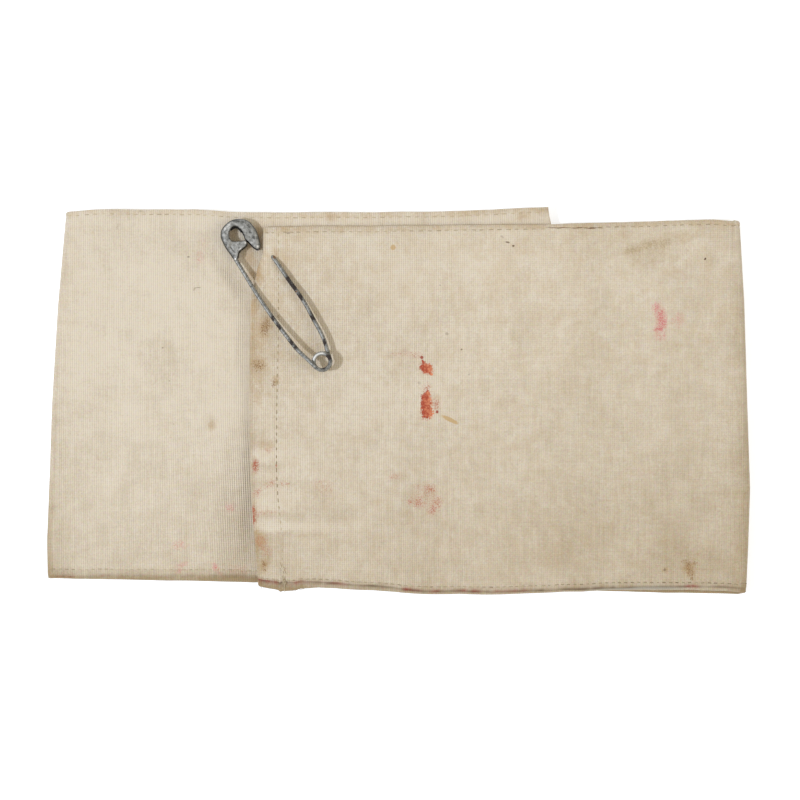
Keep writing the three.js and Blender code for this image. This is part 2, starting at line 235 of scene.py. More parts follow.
def fold_columns(angles, side, centre_x, radius, before, after):
    """The same for half a turn between two layers: the outer face goes round the fold"""
    start = np.pi / 2 if side > 0 else -np.pi / 2
    out_x, out_z = np.cos(start - angles), np.sin(start - angles)
    t = angles / np.pi
    return np.array([
        centre_x + radius * out_x,
        radius + radius * out_z,
        out_x,
        out_z,
        before[1] + (after[1] - before[1]) * t,
        before[2] + (after[2] - before[2]) * t,
    ])


spine = np.concatenate([
    layer_columns(front_rows, front_x, 1.0),
    fold_columns(turn_angles, 1, right_fold_x, right_fold_radius, front_rows[-1], back_rows[0]),
    layer_columns(back_rows, back_x, -1.0),
    fold_columns(turn_angles, -1, left_fold_x, left_fold_radius, back_rows[-1], left_rows[0]),
    layer_columns(left_rows, left_x, 1.0),
], axis=1)
station_s = np.concatenate([[0.0], np.cumsum(np.hypot(np.diff(spine[0]), np.diff(spine[1])))])
strip_length = station_s[-1]
station = np.arange(len(station_s))
on_front = (station < len(front_x)).astype(float)
on_left = (station >= len(station) - len(left_x) - 1).astype(float)


def along(column, s):
    """A column of the spine, s millimetres along the strip from its stitched end"""
    return np.interp(s, station_s, spine[column])


def share(layer, s):
    """How much of a place belongs to a layer: 1 on the layer and 0 elsewhere"""
    return np.interp(s, station_s, layer)


def seams(s):
    """The distances of creases and stitch lines from the low edge, and of stitches from the high one"""
    x, front = along(0, s), share(on_front, s)

    def either(left_seam, front_seam, column=1):
        return table_at(left_seam, x, column) * (1 - front) + table_at(front_seam, x, column) * front

    crease = either(left_low_seam, front_low_seam)
    low = either(left_low_seam, front_low_seam, 2)
    high = either(left_high_seam, front_high_seam)
    wander = ripples(s, ((0.12, 9.0, 3), (0.06, 3.0, 4)))
    return crease + wander, low + 0.5 * wander, high + 0.4 * wander


# The bar of stitches at the foot of the end's seam and the frayed ply beside it stand out of the edge
foot_bulge = ((-40.5, 0.0), (-36.0, -0.05), (-34.2, -0.15), (-33.6, -0.6), (-32.9, -0.3), (-30.0, -0.35),
              (-27.9, -0.3), (-27.6, 0.1), (-24.0, 0.0))
end_corner_radius = 0.7


def closing(distance, radius):
    """From 0 on a rounded edge to 1 where its rounding ends"""
    return np.sqrt(1 - (1 - np.clip(distance / radius, 0, 1)) ** 2)


def edges(s):
    """The strip's low and high edge, with the small waves of hand-turned hems"""
    front = share(on_front, s)
    low = along(4, s) + front * table_at(foot_bulge, along(0, s))
    low = low + ripples(s, ((0.14, 7.0, 5), (0.06, 2.6, 6)))
    high = along(5, s) - 0.3 * front + ripples(s, ((0.12, 8.0, 7), (0.05, 2.4, 8)))
    corner = end_corner_radius * (1 - closing(s, end_corner_radius))
    return low + corner, high - 0.5 * corner


# Height of the outer face across the low hem: 0 is the edge, 1 the crease, 2 the stitch line
low_hem_heights = ((0.0, -0.4), (0.8, -0.34), (0.93, -0.41), (1.0, -0.45), (1.06, -0.37), (1.18, -0.22),
                   (1.35, -0.07), (1.6, 0.03), (1.85, 0.0), (2.0, -0.12), (2.15, -0.02), (2.5, 0.0))
# The same across the high hem: 0 is the edge and 1 the stitch line
high_hem_heights = ((0.0, -0.06), (0.5, 0.04), (0.85, 0.0), (1.0, -0.12), (1.15, -0.02), (1.5, 0.0))


def strip_face(s, across):
    """The strip's outer face: x, y, z, the way out, and how far in the two hems a place is"""
    low, high = edges(s)
    y = low + (high - low) * across
    x_plain, z = along(0, s), along(1, s)
    out_x, out_z = along(2, s), along(3, s)
    front, left = share(on_front, s), share(on_left, s)
    lean = ease(x_plain, lean_starts_at, right_fold_x) * table_at(right_lean, across)
    lean = lean + ease(-x_plain, lean_starts_at, -left_fold_x) * table_at(left_lean, across)
    end_weight = front * (1 - np.clip((x_plain - end_a_x) / end_lean_reach, 0, 1))
    lean = lean + end_weight * table_at(end_lean, across)
    under_weight = left * (1 - np.clip((end_b_x - x_plain) / under_lean_reach, 0, 1))
    lean = lean - under_lean * under_weight * ease(across, 0.94, 1.0)
    x = x_plain + lean

    crease, low_stitch, high_stitch = seams(s)
    from_low, from_high = across * (high - low), (1 - across) * (high - low)
    beyond = 2 + (from_low - low_stitch) / (hem_zone - low_stitch)
    between = 1 + (from_low - crease) / (low_stitch - crease)
    past_crease = np.where(from_low < low_stitch, between, beyond)
    in_low = np.where(from_low < crease, from_low / crease, past_crease)
    in_low = np.clip(in_low, 0, 3)
    past = 1 + (from_high - high_stitch) / (hem_zone - high_stitch)
    in_high = np.clip(np.where(from_high < high_stitch, from_high / high_stitch, past), 0, 2)

    # Round the folds the hem is pressed flush
    flush = 0.25 + 0.75 * out_z**2
    height = flush * table_at(low_hem_heights, in_low) + table_at(high_hem_heights, in_high)
    seam_x = table_at(end_seam, y)
    height = height - front * 0.08 * np.exp(-(((x - seam_x) / 0.42) ** 2))

    lift = front * soft_spots(front_humps, x, y) + left * soft_spots(left_humps, x, y)
    for ridge_y, half_width, reach, rise in puckers:
        fade = np.exp(-(((x_plain - end_a_x) / reach) ** 2))
        lift = lift + front * rise * fade * np.exp(-(((y - ridge_y) / half_width) ** 2))
    seen = np.maximum(front, left)
    lift = lift + seen * (0.13 * rumple(x, y, 15.0, 11) + 0.05 * rumple(x, y, 6.0, 12))
    lift = lift + seen * 0.05 * rumple(x + 0.6 * y, y - 0.6 * x, 10.0, 13)
    return {
        "x": x + out_x * height,
        "y": y + origin_y,
        "z": z + out_z * height + lift,
        "out_x": out_x,
        "out_z": out_z,
        "in_low": in_low,
        "in_high": in_high,
        "height": height,
        "lean": lean,
        "seam_x": seam_x,
        "front": front,
        "left": left,
    }


# Rows across the strip: close together in the hems, where they follow crease and stitch line
low_rows = np.array([0, 0.06, 0.16, 0.32, 0.55, 0.8, 0.93, 1, 1.06, 1.18, 1.35, 1.6, 1.85, 1.94, 2,
                     2.06, 2.15, 2.3, 2.5, 2.75])
high_rows = np.array([1.7, 1.35, 1.15, 1.06, 1, 0.94, 0.85, 0.7, 0.5, 0.34, 0.2, 0.1, 0.03, 0])
middle_rows = np.linspace(0, 1, 80)

s_grid = station_s[:, None]
low_edge, high_edge = edges(s_grid)
width = high_edge - low_edge
crease_at, low_stitch_at, high_stitch_at = seams(s_grid)
in_lip = crease_at + (low_rows - 1) * (low_stitch_at - crease_at)
past_stitches = low_stitch_at + (low_rows - 2) * (hem_zone - low_stitch_at)
low_part = np.where(low_rows < 1, low_rows * crease_at, np.where(low_rows < 2, in_lip, past_stitches))
past_stitches = high_stitch_at + (high_rows - 1) * (hem_zone - high_stitch_at)
high_part = width - np.where(high_rows < 1, high_rows * high_stitch_at, past_stitches)
middle_part = hem_zone + (width - 2 * hem_zone) * middle_rows
from_low_edge = np.concatenate([low_part, middle_part, high_part], axis=1)
across_grid = from_low_edge / width
s_grid = np.broadcast_to(s_grid, across_grid.shape)
face = strip_face(s_grid, across_grid)

# The wall is thicker in the hems, and both faces meet in a rounded edge all round the strip
from_edge = np.minimum(from_low_edge, width - from_low_edge)
side_hem = 1 - ease(from_edge, hem_width, hem_width + hem_fade)
from_end = np.minimum(s_grid, strip_length - s_grid)
end_hem = 1 - ease(from_end, end_hem_width, end_hem_width + end_hem_fade)
wall = cloth_wall + (hem_wall - cloth_wall) * np.maximum(side_hem, end_hem)

close = closing(from_low_edge, 0.4) * closing(width - from_low_edge, 0.6)
close = close * closing(from_end, 0.6)
inner_offset = -wall - face["height"]
outer_shift = 0.5 * inner_offset * (1 - close)
inner_shift = inner_offset * (0.5 + 0.5 * close)


def pushed_out(face, shift):
    """Points of the strip's face, moved along the way out of it"""
    x = face["x"] + face["out_x"] * shift
    z = face["z"] + face["out_z"] * shift
    return np.stack([x, face["y"], z], -1)


outer = pushed_out(face, outer_shift)
inner = pushed_out(face, inner_shift)

stations, rows = across_grid.shape
outer_index = np.arange(stations * rows).reshape(stations, rows)
inner_index = np.full((stations, rows), -1)
inside = np.zeros((stations, rows), bool)
inside[1:-1, 1:-1] = True
inner_index[inside] = stations * rows + np.arange(inside.sum())
inner_index[~inside] = outer_index[~inside]
band_points = np.concatenate([outer.reshape(-1, 3), inner[inside]])


def grid_quads(index, flip):
    """The faces between the points of a grid, facing the other way if flipped"""
    a, b, c, d = index[:-1, :-1], index[1:, :-1], index[1:, 1:], index[:-1, 1:]
    order = (a, d, c, b) if flip else (a, b, c, d)
    return np.stack(order, -1).reshape(-1, 4)


band_faces = np.concatenate([grid_quads(outer_index, False), grid_quads(inner_index, True)])


def at_both(values):
    """Values at the points of the outer face, and then of the inner one"""
    return np.concatenate([values.reshape(-1), values[inside]])


is_outer = np.concatenate([np.ones(stations * rows), np.zeros(inside.sum())])


def new_piece(name, points, faces, material):
    """A mesh object from points in millimetres, with smooth shading"""
    mesh = bpy.data.meshes.new(name)
    mesh.from_pydata((np.asarray(points) * mm).tolist(), [], [list(map(int, f)) for f in faces])
    mesh.materials.append(material)
    mesh.shade_smooth()
    piece = bpy.data.objects.new(name, mesh)
    bpy.context.scene.collection.objects.link(piece)
    return piece


def put_values(piece, name, values):
    """Values at the points of a piece that its material reads: one number each, or three"""
    values = np.asarray(values, np.float32)
    kind, field = ("FLOAT", "value") if values.ndim == 1 else ("FLOAT_VECTOR", "vector")
    made = piece.data.attributes.new(name, kind, "POINT")
    made.data.foreach_set(field, values.reshape(-1))


def colour(text):
    """A linear colour from its sRGB hex value"""
    parts = [int(text[i : i + 2], 16) / 255 for i in (1, 3, 5)]
    linear = [p / 12.92 if p <= 0.04045 else ((p + 0.055) / 1.055) ** 2.4 for p in parts]
    return (*linear, 1.0)


def new_material(name):
    """A material, its node tree and its shader. The last tree made is the one at hand"""
    material = bpy.data.materials.new(name)
    material.use_nodes = True
    return material, material.node_tree, material.node_tree.nodes["Principled BSDF"]


def feed(node, sockets):
    """Gives each input of a node its value, its sRGB hex colour, or the output that feeds it"""
    for where, value in sockets.items():
        if isinstance(value, bpy.types.NodeSocket):
            tree.links.new(value, node.inputs[where])
        else:
            node.inputs[where].default_value = colour(value) if isinstance(value, str) else value


def add_node(kind, sockets=(), output=0, **settings):
    """Adds a node with its settings to the tree at hand, and gives one of its outputs. What goes
    into its inputs comes in their order, or by their numbers or names"""
    made = tree.nodes.new("ShaderNode" + kind)
    for name, value in settings.items():
        setattr(made, name, value)
    feed(made, sockets if isinstance(sockets, dict) else dict(enumerate(sockets)))
    return made.outputs[output]


# Undyed ribbed cotton, woven: dull and soft with a little fuzz, ribs that catch the side light,
# and soil in grooves and seams, with painted shade there and along the folds.
cotton, tree, shader = new_material("ribbed_cotton_undyed")
strip = add_node("Attribute", output="Vector", attribute_name="strip")
place = add_node("Attribute", output="Vector", attribute_name="place")
# What the mesh says at each of its points, by the names of the charts below
charts = ("soil_and_shade", "yellowed", "groove", "canvas", "front_face", "left_face", "rust_and_pin_shadow", "smudge", "pink",
          "faint_red", "lining", "crease_grime_and_shade", "seam_red")
chart = {name: add_node("Attribute", output="Fac", attribute_name=name) for name in charts}


def cloudy(where, scale, detail, roughness, contrast=None, level=0.0, clamp=False):
    """Cloudy patches: noise about 0.5 with scale features to a millimetre, which contrast then
    spreads and level lifts"""
    sockets = {"Vector": where, "Scale": scale, "Detail": detail, "Roughness": roughness}
    patches = add_node("TexNoise", sockets)
    if contrast is None:
        return patches
    return add_node("Math", (patches, contrast, level), operation="MULTIPLY_ADD", use_clamp=clamp)


def summed(start, parts):
    """Patterns added to a start, each with its weight"""
    for pattern, weight in parts:
        start = add_node("Math", (pattern, weight, start), operation="MULTIPLY_ADD")
    return start


def laid_over(under, paint, amount, strength=None):
    """A colour laid over another, where amount says and as strongly as strength says"""
    if strength is not None:
        amount = add_node("Math", (amount, strength), operation="MULTIPLY")
    return add_node("Mix", {0: amount, 6: under, 7: paint}, 2, data_type="RGBA")


# The scale at which the wave pattern has one wave to a millimetre
one_wave = 0.314159


def threads(pitch, direction, distortion):
    """Bands from 0 to 1, one for each thread or rib, with their pitch in millimetres"""
    sockets = {"Vector": strip, "Scale": one_wave / pitch, "Distortion": distortion, "Detail": 1.0,
               "Detail Scale": 0.6}
    return add_node("TexWave", sockets, "Fac", bands_direction=direction)


def slubs(stretch):
    """Thick and thin places of the threads, drawn out along them"""
    drawn_out = add_node("VectorMath", (strip, stretch), operation="MULTIPLY")
    return cloudy(drawn_out, 1.0, 2.0, 0.6)


# Ribs run across the strip, 0.6 mm apart. The fine threads between them lie 0.3 mm apart in real
# poplin, and are drawn at 0.55 mm so that the render shows them.
rib_pitch = 0.6
thread_pitch = 0.55
ribs = threads(rib_pitch, "X", 0.35)
cross_threads = threads(thread_pitch, "Y", 0.6)
rib_slubs = slubs((1.5, 0.09, 1.0))
cross_slubs = slubs((0.1, 1.7, 1.0))
fuzz = cloudy(place, 2.4, 2.0, 0.7)

# The cloth darkens towards the soiled colour with soil, and with painted shade where the chart carries it
clean_cloth = "#e9dfcc"
soiled_and_shaded_cloth = "#a89472"
soil_and_shade_threshold = 1.21
soil_and_shade = summed(chart["soil_and_shade"], (
    (cloudy(place, 0.11, 4.0, 0.6), 0.5),
    (cloudy(place, 0.035, 3.0, 0.5), 0.3),
    (cloudy(place, 0.45, 4.0, 0.65), 0.4),
    (cross_slubs, 0.24),
    (rib_slubs, 0.42),
    (fuzz, 0.56),
))
soil_and_shade = add_node("Math", (soil_and_shade, soil_and_shade_threshold), operation="SUBTRACT", use_clamp=True)
tone = laid_over(clean_cloth, soiled_and_shaded_cloth, soil_and_shade)
fibre_sockets = {"Vector": place, "Scale": 1.7, "Detail": 3.0, "Roughness": 0.7}
fibre_tint = add_node("TexNoise", fibre_sockets, "Color")
tone = add_node("Mix", {0: 0.3, 6: tone, 7: fibre_tint}, 2, data_type="RGBA", blend_type="OVERLAY")
yellow_patches = cloudy(place, 0.3, 5.0, 0.7, 1.6, -0.62, clamp=True)
tone = laid_over(tone, "#c9a873", yellow_patches, chart["yellowed"])

# Grooves between the ribs hold soil and shade, and so do those between the fine threads
groove_shade = "#6f5f4c"
groove = add_node("Math", (1.0, ribs), operation="SUBTRACT")
beaded = add_node("Math", (cross_threads, 0.5, 0.7), operation="MULTIPLY_ADD")
groove_depth = add_node("Math", (chart["groove"], beaded), operation="MULTIPLY")
tone = laid_over(tone, groove_shade, groove, groove_depth)
fine_depth = add_node("Math", (chart["canvas"], 0.06), operation="MULTIPLY")
tone = laid_over(tone, groove_shade, cross_threads, fine_depth)

# Paint, pink dye and rust have ragged rims, because they run along the threads
blotchy = cloudy(place, 1.1, 5.0, 0.8, 2.0, -1.0)
grainy = cloudy(place, 2.6, 3.0, 0.7, 2.0, -1.0)
fine_grain = cloudy(place, 3.6, 2.0, 0.6, 2.0, -1.0)
flat_place = add_node("VectorMath", (place, (1.0, 1.0, 0.0)), operation="MULTIPLY")


def crisp_blots(rows, face_name="front_face"):
    """As blots, but worked out by the shader, on one face only"""
    deepest = -1.5
    for blot_x, blot_y, long, wide, turn in rows:
        sockets = {"Vector": flat_place, "Location": (blot_x, blot_y, 0.0),
                   "Rotation": (0.0, 0.0, math.radians(turn)), "Scale": (long, wide, 1.0)}
        here = add_node("Mapping", sockets, vector_type="TEXTURE")
        distance = add_node("VectorMath", (here,), "Value", operation="LENGTH")
        depth = add_node("Math", (1.0, distance), operation="SUBTRACT")
        deepest = add_node("Math", (deepest, depth), operation="MAXIMUM")
    elsewhere = add_node("Math", (chart[face_name], -9.0, 9.0), operation="MULTIPLY_ADD")
    return add_node("Math", (deepest, elsewhere), operation="SUBTRACT")


def soaked(under, depth, paint, strength, sharpness, raggedness, grain):
    """A mark that has soaked in. The depth is how far inside its rim a place is"""
    rim = summed(depth, ((blotchy, raggedness), (grainy, grain)))
    inside_rim = add_node("Math", (rim, sharpness, 0.3), operation="MULTIPLY_ADD", use_clamp=True)
    return laid_over(under, paint, inside_rim, strength)


def brushed(under, depth, paint, strength, scarcity):
    """Specks on the raised threads, where wet paint has only brushed the cloth"""
    within = add_node("Math", (depth, 2.2), operation="MULTIPLY")
    within = summed(within, ((blotchy, 1.4),))
    within = add_node("Math", (within, 0.5, 0.4), operation="MULTIPLY_ADD", use_clamp=True)
    flecks = add_node("Math", (within, 2.0, -scarcity), operation="MULTIPLY_ADD")
    flecks = summed(flecks, ((fine_grain, 6.0),))
    flecks = add_node("Math", (ribs, 0.6, flecks), operation="MULTIPLY_ADD", use_clamp=True)
    flecks = add_node("Math", (flecks, within), operation="MULTIPLY")
    return laid_over(under, paint, flecks, strength)


# The small crisp marks are laid out here, finer than the mesh: x, y, half length, half width, turn
paint_blots = ((7.7, 9.0, 1.9, 1.55, -25), (6.75, 10.6, 0.35, 0.7, 20), (8.9, 7.4, 0.6, 0.45, -35),
               (7.6, 0.6, 1.45, 1.9, 0), (7.9, -3.0, 1.75, 2.0, 0), (7.5, -1.3, 1.5, 3.0, 0),
               (8.0, 2.0, 0.4, 1.0, 0))
drops = ((6.4, 11.9, 0.45, 0.5, 0), (10.6, -3.05, 0.4, 0.42, 0))
edge_reds = ((-40.1, -30.0, 1.0, 1.3, 0), (-39.9, -32.6, 0.8, 2.0, 0), (-39.2, -17.6, 0.9, 2.2, 0),
             (-33.5, -17.8, 0.3, 0.7, 0), (-33.5, -21.2, 0.3, 0.6, 0))
ochre_blots = ((14.2, -5.2, 2.7, 0.62, -26), (-1.5, 42.1, 0.8, 0.8, 0))
rust_marks = ((79.7, -45.4, 1.3, 1.9, 0), (80.4, -47.1, 1.5, 2.1, 0), (78.7, -44.0, 1.3, 0.45, 8),
              (81.6, -44.6, 0.8, 0.7, 0), (80.6, -48.8, 0.7, 0.9, 0), (-36.6, 20.2, 1.6, 3.3, -12),
              (-38.3, 9.7, 2.1, 2.2, 0), (-34.3, 4.8, 0.7, 1.6, 0), (-36.9, -44.6, 0.9, 1.1, 0),
              (-36.7, -46.6, 0.7, 0.9, 0))
# The orange paint is rubbed lighter towards its right side
place_x = add_node("SeparateXYZ", (place,), "X")
from_left = add_node("Math", (place_x, 0.25), operation="MULTIPLY")
paint_wear = cloudy(place, 1.5, 4.0, 0.75, 4.0, -3.6)
paint_wear = add_node("Math", (paint_wear, from_left), operation="ADD", use_clamp=True)
paint_tone = laid_over("#a93a1f", "#e28f66", paint_wear)
# How each mark got there, where, its colour and strength, and then for a soaked one the sharpness
# and raggedness of its rim and its grain, and for a brushed one how scarce its specks are
marks = (
    (soaked, crisp_blots(ochre_blots), "#c4a063", 0.7, 3.0, 0.2, 0.3),
    (soaked, chart["rust_and_pin_shadow"], "#aa8038", 0.46, 0.9, 1.0, 0.9),
    (brushed, crisp_blots(rust_marks), "#7d5220", 0.72, 1.95),
    (soaked, chart["smudge"], "#ab8f50", 0.22, 0.8, 0.8, 0.6),
    (brushed, chart["smudge"], "#8f7340", 0.36, 1.7),
    (soaked, chart["pink"], "#de8088", 0.24, 1.1, 0.8, 1.6),
    (brushed, chart["pink"], "#cc4459", 0.68, 1.45),
    (soaked, chart["faint_red"], "#cf9578", 0.12, 1.0, 0.8, 0.5),
    (brushed, chart["faint_red"], "#b04a2c", 0.66, 1.95),
    (brushed, crisp_blots(edge_reds), "#a84828", 0.66, 1.0),
    (soaked, crisp_blots(paint_blots), paint_tone, 0.95, 5.0, 0.5, 0.9),
    (soaked, crisp_blots(drops), "#9a3524", 0.85, 4.0, 0.3, 0.6),
)
for got_there, *how in marks:
    tone = got_there(tone, *how)
tone = laid_over(tone, "#a9a69b", chart["lining"], 0.72)
# Dirt and painted shade in the hem's crease
tone = laid_over(tone, "#5c4224", chart["crease_grime_and_shade"])
dabbed = add_node("Math", (fine_grain, 2.2, 0.95), operation="MULTIPLY_ADD", use_clamp=True)
tone = laid_over(tone, "#93291d", chart["seam_red"], dabbed)
# The slit in the front's high hem, where the stitches have given way: a dark brown line of painted shade
# in the opening
slit_shade_runs = ((42.2, 47.55, 1.8, 0.08, -2), (44.4, 47.45, 1.5, 0.13, 5), (46.6, 47.5, 1.2, 0.1, -6),
             (48.9, 47.45, 1.6, 0.17, 3), (51.2, 47.5, 1.4, 0.16, -4), (53.2, 47.45, 1.4, 0.2, 4),
             (55.0, 47.55, 1.5, 0.09, -3))
tone = soaked(tone, crisp_blots(slit_shade_runs), "#6a3f1c", 0.85, 2.0, 0.3, 0.5)

# Small dark specks, where something has burnt or stained a thread or two: the columns of a blot,
# and strength
specks = ((28.4, 45.0, 0.7, 0.35, -40, 0.3), (29.9, 43.5, 0.75, 0.32, -10, 0.7),
          (31.5, 42.5, 0.42, 0.36, 0, 0.8), (17.3, 14.1, 0.32, 0.3, 0, 0.7),
          (13.3, 18.4, 0.6, 0.5, 0, 0.35), (5.7, 4.9, 0.5, 0.5, 0, 0.22), (19.3, 7.2, 0.4, 0.3, 0, 0.3),
          (11.4, 31.7, 0.28, 0.25, 0, 0.4), (84.3, 39.0, 0.3, 0.46, -25, 1.0),
          (73.2, -46.5, 0.5, 0.5, 0, 0.5), (-64.9, 14.6, 0.28, 0.25, 0, 0.5),
          (-63.0, 5.5, 0.25, 0.22, 0, 0.4), (-61.9, -6.4, 0.28, 0.25, 0, 0.3),
          (-57.8, 39.6, 0.45, 0.2, 0, 0.7), (-71.0, 52.2, 0.5, 0.35, 0, 0.25),
          (-30.2, 46.0, 0.7, 0.35, 0, 0.4))
for *speck, strength in specks:
    face_name = "front_face" if speck[0] > end_a_x else "left_face"
    dark = summed(crisp_blots((speck,), face_name), ((grainy, 0.5),))
    dark = add_node("Math", (dark, 2.2), operation="MULTIPLY", use_clamp=True)
    tone = laid_over(tone, "#55320f", dark, strength)

relief = add_node("Math", (ribs, 0.55), operation="MULTIPLY")
fine_relief = add_node("Math", (chart["canvas"], 0.2, 0.08), operation="MULTIPLY_ADD")
relief = summed(relief, ((cross_threads, fine_relief), (rib_slubs, 0.5), (cross_slubs, 0.4), (fuzz, 0.5)))
weave_height = 0.105 * mm
feed(shader, {
    "Base Color": tone,
    "Roughness": 0.93,
    "Specular IOR Level": 0.2,
    "Sheen Weight": 0.12,
    "Sheen Roughness": 0.6,
    "Normal": add_node("Bump", {"Strength": 0.8, "Distance": weave_height, "Height": relief}),
})

band = new_piece("band_cloth", band_points, band_faces, cotton)
px, py, _ = band_points.T
put_values(band, "place", band_points)
# Near the front's edge the left panel's ribs lean with the pull of the pin
rib_lean = 0.042
pulled = np.minimum(face["y"] + 5, 0) * ease(face["x"], -72, -46) * face["left"]
strip_u = s_grid + face["lean"] * face["out_z"] + rib_lean * pulled
put_values(band, "strip", np.stack([at_both(strip_u), py, np.zeros(len(py))], -1))

seen_front = at_both(face["front"]) * is_outer
seen_left = at_both(face["left"]) * is_outer
in_low = at_both(face["in_low"])
in_high = at_both(face["in_high"])

# Soil and painted shade: more soil towards the lower right of the front, along the hems and at the
# stitched end, and painted shade at the folds' rounded edges. The darkening towards the lower right
# is partly painted shade of the light's falloff. The spots' columns are as in soft_spots.
front_spots = (
    (33.5, 20.9, 3.4, 24.0, 0, 0.10),
    (9.4, -43.9, 2.6, 6.0, 0, 0.12),
    (30.3, -43.9, 3.6, 6.0, 0, 0.14),
    (45.9, -43.9, 3.2, 6.0, 0, 0.14),
    (80.0, -44.0, 9.0, 9.0, 0, 0.10),
    (60.0, 0.0, 22.0, 12.0, 0, 0.07),
    (30.0, -34.0, 34.0, 8.0, 0, 0.05),
    (12.0, 36.0, 26.0, 12.0, 0, -0.12),
    (68.0, 33.0, 16.0, 8.0, 0, -0.10),
    (-37.0, 12.0, 3.6, 9.0, 0, 0.20),
    (-24.0, 18.0, 12.0, 3.0, 60, 0.08),
)
left_spots = (
    (40.5, 52.6, 4.0, 1.0, 5, 0.3),
    (28.0, 52.4, 12.0, 0.8, 3, 0.14),
    (-43.0, -33.0, 3.5, 17.0, -3, 0.10),
    (-51.4, -6.7, 1.2, 1.7, 0, 0.18),
    (-66.0, 8.0, 14.0, 3.0, -42, 0.08),
    (-62.0, 12.0, 2.0, 6.0, 25, 0.10),
    (-46.6, 37.0, 4.0, 12.0, 25, 0.02),
    (-45.3, 34.0, 7.0, 1.6, -56, 0.05),
    (-57.6, 40.0, 6.0, 5.0, 0, 0.06),
)
# The gathered end is painted lighter on its ridges and darker in the dips between them: painted light and
# shade, with some dirt in the dips
pucker_light_and_shade = (
    (-36.0, -14.7, 5.0, 1.5, 0, -0.22),
    (-37.0, -17.7, 4.5, 0.8, 0, 0.26),
    (-35.0, -20.4, 4.0, 0.9, 0, -0.08),
    (-36.0, -22.9, 6.0, 0.8, 0, 0.16),
    (-34.0, -27.0, 6.0, 2.4, 0, -0.24),
    (-35.0, -31.3, 5.0, 0.7, 0, 0.22),
    (-30.0, -34.3, 13.0, 1.5, 0, -0.46),
    (-34.0, -36.5, 8.0, 0.5, 0, 0.26),
    (-38.0, -10.6, 3.0, 2.4, 0, 0.18),
    (-37.0, -41.0, 4.0, 5.0, 0, 0.14),
    (-22.0, -12.0, 7.0, 4.0, 0, 0.10),
    (-16.0, -31.5, 6.0, 2.0, 15, 0.12),
)
front_soil_and_shade = 0.10 + 0.13 * ease(px, -5, 90) + (0.22 + 0.04 * ease(px, 20, 80)) * ease(-py, 0, 50)
front_soil_and_shade = front_soil_and_shade + soft_spots(front_spots, px, py) + soft_spots(pucker_light_and_shade, px, py)
# Painted shade on the right fold's rounded edge, which turns away from the light
front_soil_and_shade = front_soil_and_shade + 0.2 * ease(px, 88, 96) + 0.16 * ease(px, 93, 96)
from_seen_end = at_both(s_grid)
front_soil_and_shade = front_soil_and_shade - 0.03 * (1 - ease(from_seen_end, 5, 9))
# The end's edge is darker: dirt and painted shade
front_soil_and_shade = front_soil_and_shade + 0.34 * (1 - ease(from_seen_end, 0.6, 1.8))
left_soil_and_shade = 0.04 + 0.28 * ease(-py, 0, 50) + soft_spots(left_spots, px, py) + 0.04 * ease(px, -38, -34)
# Painted light: the left panel is lighter just above the front's top edge, against that edge's shade
left_soil_and_shade = left_soil_and_shade - 0.05 * ease(py, 47, 48.5)
# Painted shade on the left fold's rounded edge
left_soil_and_shade = left_soil_and_shade + 0.12 * (1 - ease(px, -95, -88)) + 0.26 * (1 - ease(px, -96.8, -95.2))
seen = np.maximum(seen_front, seen_left)
soil_and_shade_values = seen_front * front_soil_and_shade + (1 - seen_front) * left_soil_and_shade + 0.1 * (1 - seen)
# Painted shade on the curves of the folds, darker at the right one
soil_and_shade_values = soil_and_shade_values + 0.4 * (1 - seen) * ease(px, 92, 96) + 0.14 * (1 - seen) * ease(-px, 92, 96)
low_hem = 1 - ease(in_low, 1.6, 2.3)
high_hem = 1 - ease(in_high, 0.8, 1.15)
lip = 1 - ease(in_low, 0.9, 1.1)
roll = 1 - ease(in_low, 0.3, 1.5)
foot_lip = seen_front * (1 - ease(px, -27, -22)) * (1 - ease(in_low, 0.1, 0.9))
right_hem = seen_front * ease(px, 50, 75)
soil_and_shade_values = soil_and_shade_values + (0.14 - 0.1 * right_hem + 0.05 * seen_left) * low_hem + 0.34 * foot_lip
# The hem's roll darkens towards the low edge: dirt and painted shade
soil_and_shade_values = soil_and_shade_values + (0.42 - 0.18 * seen_front - 0.2 * seen_front * ease(px, 30, 75)) * roll
soil_and_shade_values = soil_and_shade_values + (0.07 + 0.14 * seen_front * (1 - 0.4 * ease(px, 50, 75))) * high_hem
soil_and_shade_values = soil_and_shade_values + 0.24 * seen_left * ease(-py, 46.5, 50) * ease(px, -62, -46)
put_values(band, "soil_and_shade", soil_and_shade_values)

# Grooves darkened with dirt and painted shade: on the left panel along the front's edge, and where the
# pin pulls the cloth
grooves_dirt_and_shade = (
    (-42.0, -28.0, 2.2, 22.0, -3, 0.7),
    (-47.0, -30.0, 3.0, 20.0, -3, 0.35),
    (-46.3, 33.0, 7.5, 1.4, -56, 0.5),
    (-43.5, 16.0, 1.6, 14.0, 0, 0.3),
)
groove_values = seen_left * (0.2 + 0.8 * soft_spots(grooves_dirt_and_shade, px, py))
groove_values = groove_values + seen_front * (0.12 + 0.12 * (1 - ease(px, -5, 35))) + 0.15 * (1 - seen)
put_values(band, "groove", groove_values)
